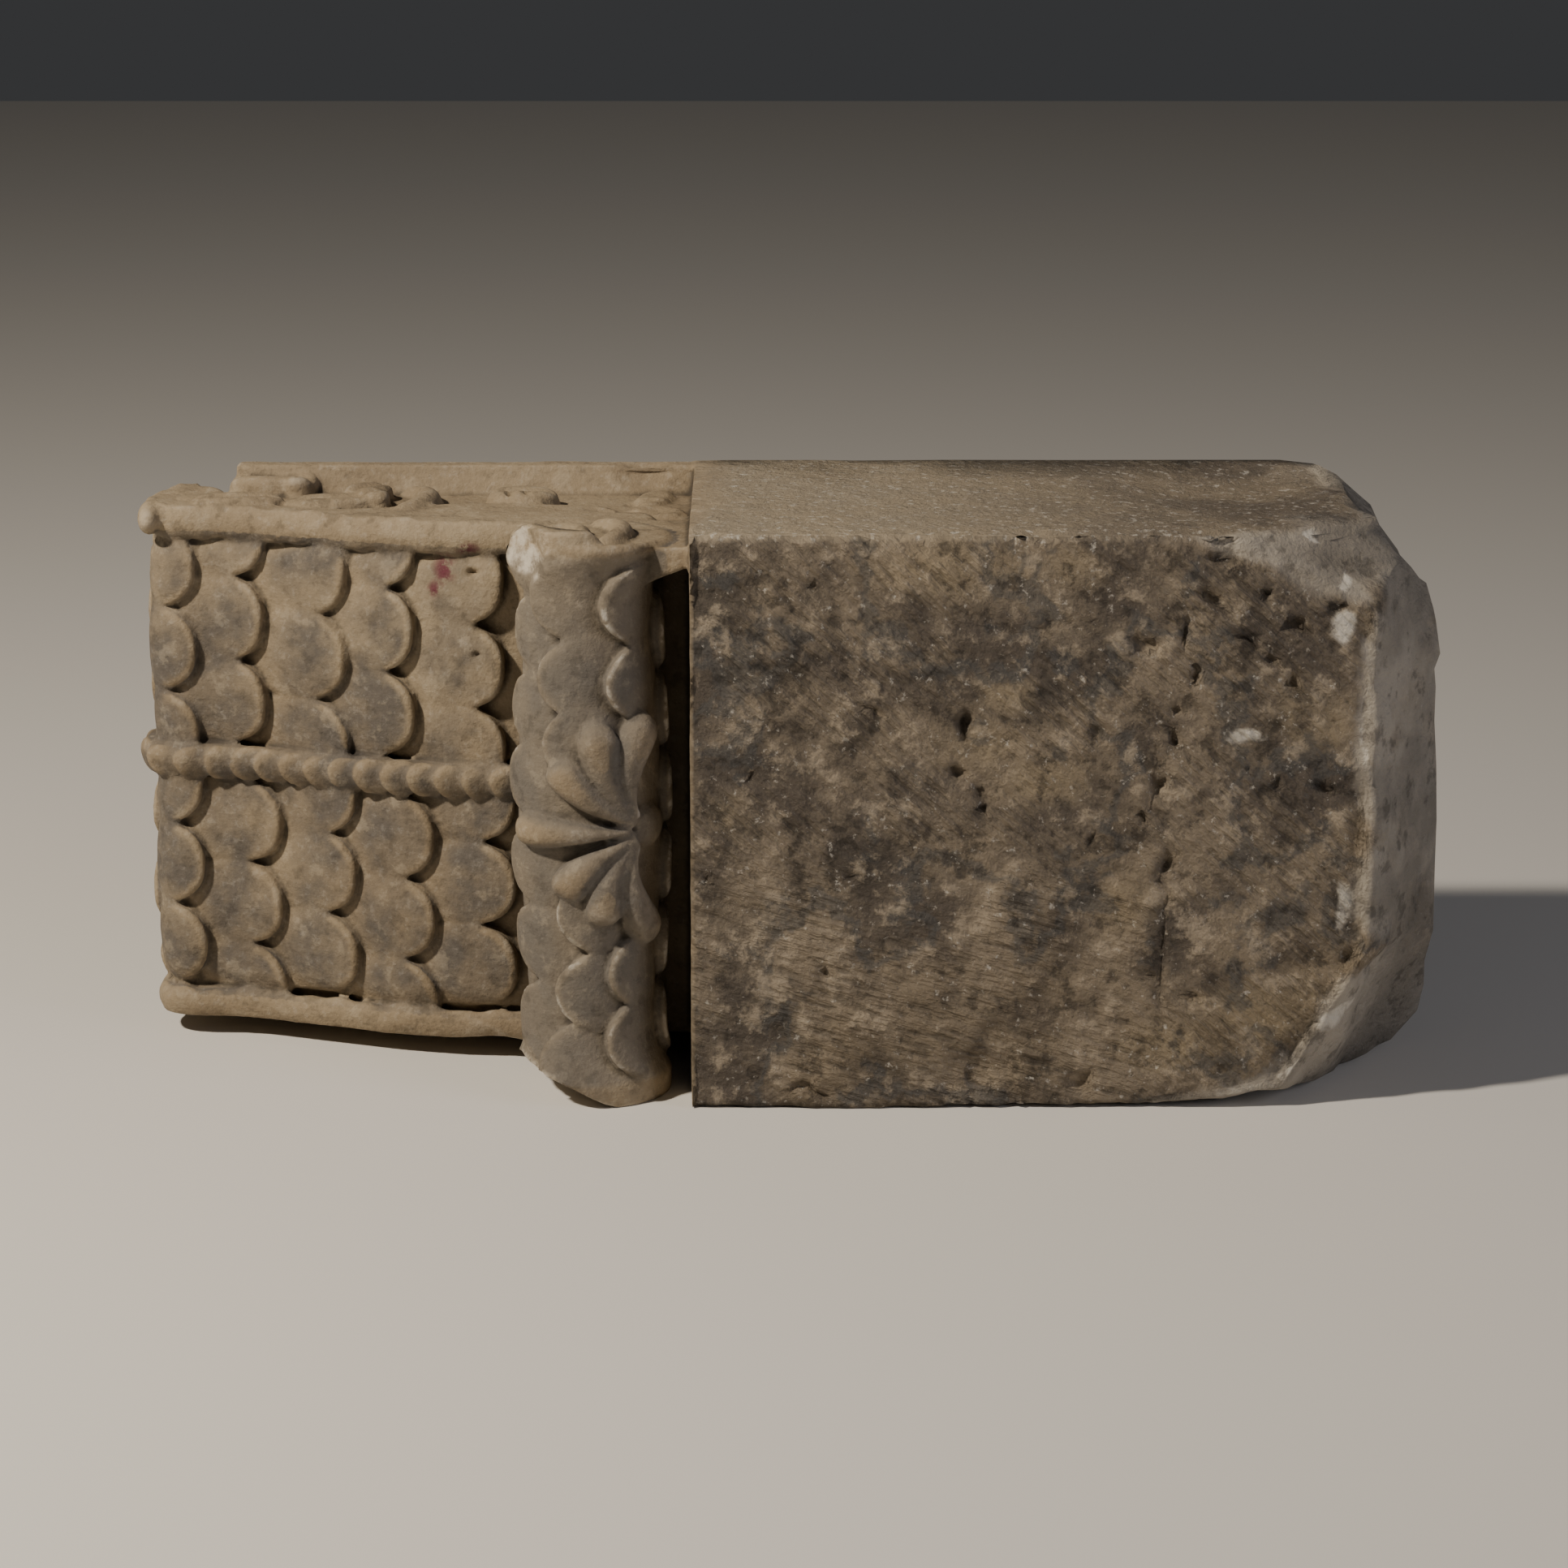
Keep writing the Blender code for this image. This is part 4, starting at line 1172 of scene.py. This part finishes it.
def grain(size_mm, detail=4.0, stretch=(1.0, 1.0, 1.0), roughness=0.55):
    return noise_at(add("ShaderNodeMapping", {"Vector": spot, "Scale": stretch}), size_mm, detail, roughness)


tan, pale = linear("#80715B"), linear("#91826A")
# The dark earth colour serves real specks and dirt, and also painted shade in hollows, chisel grooves and
# bump pits.
soot, earth_and_shade = linear("#57514A"), linear("#221D17")
crystal, ochre = linear("#CBC6BC"), linear("#75623F")
grey, slate = linear("#6A645B"), linear("#454646")

proudness, lifted = mask("proud"), mask("lift")
on_tail, on_rolls, on_break = mask("tail"), mask("roll"), mask("broken")
on_ridge, on_upper, on_chip = mask("ridge"), mask("upper"), mask("chipped")
broad, patch, blotch, fine = grain(90), grain(30, 6.0), grain(13, 6.0), grain(4.5, 6.0, roughness=0.7)
speck = grain(2.2, 4.0, roughness=0.7)
skin = grain(7, 9.0, roughness=0.66)
streak = grain(20, 5.0, (1.0, 1.0, 9.0))

carved = mix(step(broad, 0.38, 0.62), tan, pale)
tops = times(step(lifted, -0.05, 0.55), step(patch, 0.30, 0.52), step(proudness, 0.55, 0.15))
tops = times(tops, calc("ADD", 0.52, times(step(blotch, 0.62, 0.40), 0.45)))
carved = mix(tops, carved, soot)
carved = tint(carved, speck, 0.52, 0.70, 0.18, earth_and_shade)
carved = tint(carved, speck, 0.46, 0.32, 0.10, crystal)
carved = mix(times(on_rolls, 0.60), carved, grey)
tips = times(step(proudness, 0.40, 0.90), step(skin, 0.46, 0.58))
tips = times(tips, calc("ADD", times(on_rolls, 0.55), 0.16))
carved = mix(tips, carved, crystal)
carved = mix(times(on_chip, step(skin, 0.40, 0.58)), carved, linear("#B7AE9F"))
# Partly the marble's grain and partly painted light and shade: this noise also raises the bumps, so their
# pits turn dark and their crests turn light.
carved = tint(carved, skin, 0.46, 0.36, 0.30, earth_and_shade)
carved = tint(carved, skin, 0.54, 0.64, 0.22, linear("#B3A68F"))
carved = mix(times(mask("stain"), step(fine, 0.42, 0.54)), carved, linear("#5B2A33"))

spot_x = add("ShaderNodeSeparateXYZ", {"Vector": spot}, "X")
spot_z = add("ShaderNodeSeparateXYZ", {"Vector": spot}, "Z")
dark_wall, light_wall = linear("#534B42"), linear("#7F7362")
wall = mix(step(grain(30, 9.0, roughness=0.62), 0.40, 0.60), dark_wall, light_wall)
on_dark = times(mask("dark"), 0.75)
wall = mix(times(on_dark, step(patch, 0.62, 0.40)), wall, linear("#403A33"))
on_warm = times(mask("warm"), 0.80)
wall = mix(times(on_warm, step(patch, 0.34, 0.56)), wall, linear("#8D7F68"))
wall = tint(wall, broad, 0.55, 0.70, 0.16, ochre)
vein = calc("ABSOLUTE", calc("SUBTRACT", grain(55, 6.0, roughness=0.6), 0.5))
wall = tint(wall, vein, 0.030, 0.006, 0.55, slate)
# Partly the stone's grain and partly painted light and shade: the same noise raises the lumps, so their
# crests are lighter and their pits darker.
wall = tint(wall, skin, 0.52, 0.66, 0.60, linear("#A99B86"))
wall = tint(wall, skin, 0.46, 0.35, 0.62, earth_and_shade)
wall = tint(wall, speck, 0.60, 0.72, 0.50, crystal)
upper_stone = mix(step(spot_x, 0.02, 0.26), linear("#968A76"), linear("#5E554A"))
upper_stone = tint(upper_stone, patch, 0.44, 0.58, 0.45, linear("#8B7E69"))
upper_stone = tint(upper_stone, speck, 0.56, 0.64, 0.50, crystal)
wall = mix(times(on_upper, 0.80), wall, upper_stone)
broken_stone = mix(step(patch, 0.36, 0.64), linear("#857E73"), linear("#ABA396"))
# Painted shade in the pits of the bumps on the break, from the same noise that raises them.
broken_stone = tint(broken_stone, skin, 0.47, 0.36, 0.45, earth_and_shade)
wall = mix(times(on_break, 0.85), wall, broken_stone)
whitened = times(step(times(on_ridge, calc("ADD", skin, 0.12)), 0.26, 0.60), 0.85)
wall = mix(whitened, wall, linear("#D2CBBE"))

colour = mix(on_tail, carved, wall)
# Partly dirt and partly painted shade: points in hollows turn towards the dark earth colour, strongly on the
# carving and weakly on the tail.
hollow = step(proudness, -0.20, -0.80)
hollow = times(hollow, calc("SUBTRACT", 0.80, times(on_tail, 0.66)))
colour = mix(hollow, colour, earth_and_shade)


def strokes(degrees, width_mm):
    """Short chisel strokes: noise drawn out along one direction of the near face."""
    turn = (0.0, math.radians(degrees), 0.0)
    settings = {"Vector": spot, "Rotation": turn, "Scale": (5.0, 1.0, 1.0)}
    place = add("ShaderNodeMapping", settings, vector_type="TEXTURE")
    return noise_at(place, width_mm, 3.0, 0.5)


lower_left = times(step(spot_z, 0.15, 0.10), step(spot_x, 0.22, 0.15))
marks = add("ShaderNodeMix", {0: lower_left, 2: strokes(42, 1.9), 3: strokes(17, 2.0)}, 0, data_type="FLOAT")
worked = calc("SUBTRACT", calc("SUBTRACT", on_tail, on_break, True), on_upper, True)
worked = times(worked, calc("ADD", 0.35, step(grain(34, 3.0), 0.40, 0.60)))
# Painted shade: the grooves of the chisel strokes are turned towards the dark earth colour.
colour = mix(times(step(marks, 0.46, 0.36), worked, 0.30), colour, earth_and_shade)
marks = times(marks, times(worked, 0.0058))

grit = times(grain(1.3, 3.0), calc("ADD", times(on_tail, 0.0006), 0.0005))
roughly = calc("SUBTRACT", on_tail, times(on_upper, 0.6))
lumps = times(skin, calc("ADD", times(roughly, 0.0048), 0.0016))
bumps = calc("ADD", calc("ADD", calc("ADD", grit, lumps), marks), times(streak, 0.0003))
relief = add("ShaderNodeBump", {"Height": bumps, "Strength": 1.0, "Distance": 1.0})
surface = add(
    "ShaderNodeBsdfPrincipled",
    {"Base Color": colour, "Roughness": 0.82, "Specular IOR Level": 0.35, "Normal": relief},
)
tree.links.new(surface, tree.nodes.new("ShaderNodeOutputMaterial").inputs["Surface"])
print("material nodes", len(tree.nodes))

# %% [markdown]
# ## Floor, light and camera
# The stone lies on a plain pale floor. One soft key light stands at the upper left in front, as
# in the photograph, so each scale throws its shadow to the lower right, and a weak fill keeps
# the groove readable.

# %% Stage
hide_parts("modillion")
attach(block, "root")

floor = mesh_object("floor", [(-3, -3, 0), (3, -3, 0), (3, 4, 0), (-3, 4, 0)], [(0, 1, 2, 3)])
plain = bpy.data.materials.new("pale_floor")
plain.use_nodes = True
plain.node_tree.nodes["Principled BSDF"].inputs["Base Color"].default_value = linear("#CFCBC4")
plain.node_tree.nodes["Principled BSDF"].inputs["Roughness"].default_value = 0.9
floor.data.materials.append(plain)
floor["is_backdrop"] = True


def area_light(name, location, size, power, colour):
    lamp = bpy.data.lights.new(name, "AREA")
    lamp.size, lamp.energy, lamp.color = size, power, linear(colour)[:3]
    made = bpy.data.objects.new(name, lamp)
    made.location = location
    made.rotation_euler = (Vector((0.0, 0.0, 0.12)) - Vector(location)).to_track_quat("-Z", "Y").to_euler()
    bpy.context.scene.collection.objects.link(made)
    made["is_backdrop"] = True


area_light("key", (-1.45, -0.95, 1.75), 0.14, 74, "#FFF4E4")
area_light("fill", (2.1, -1.1, 0.9), 1.2, 16, "#F4F4FF")
world = bpy.data.worlds.new("studio")
world.use_nodes = True
world.node_tree.nodes["Background"].inputs["Color"].default_value = linear("#E6E8EC")
world.node_tree.nodes["Background"].inputs["Strength"].default_value = 0.05
bpy.context.scene.world = world

lens = bpy.data.cameras.new("camera")
lens.lens, lens.sensor_width = 111.8, 36.0
camera = bpy.data.objects.new("camera", lens)
camera.location = (ORIGIN[0] + 0.3324, ORIGIN[1] - 2.3128, ORIGIN[2] + 0.6413)
camera.rotation_euler = (math.radians(75), 0.0, 0.0)
bpy.context.scene.collection.objects.link(camera)
bpy.context.scene.camera = camera

# %% Sizes and finish
final_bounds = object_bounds()
print("scene box", [round(v, 4) for corner in final_bounds for v in corner], seconds())
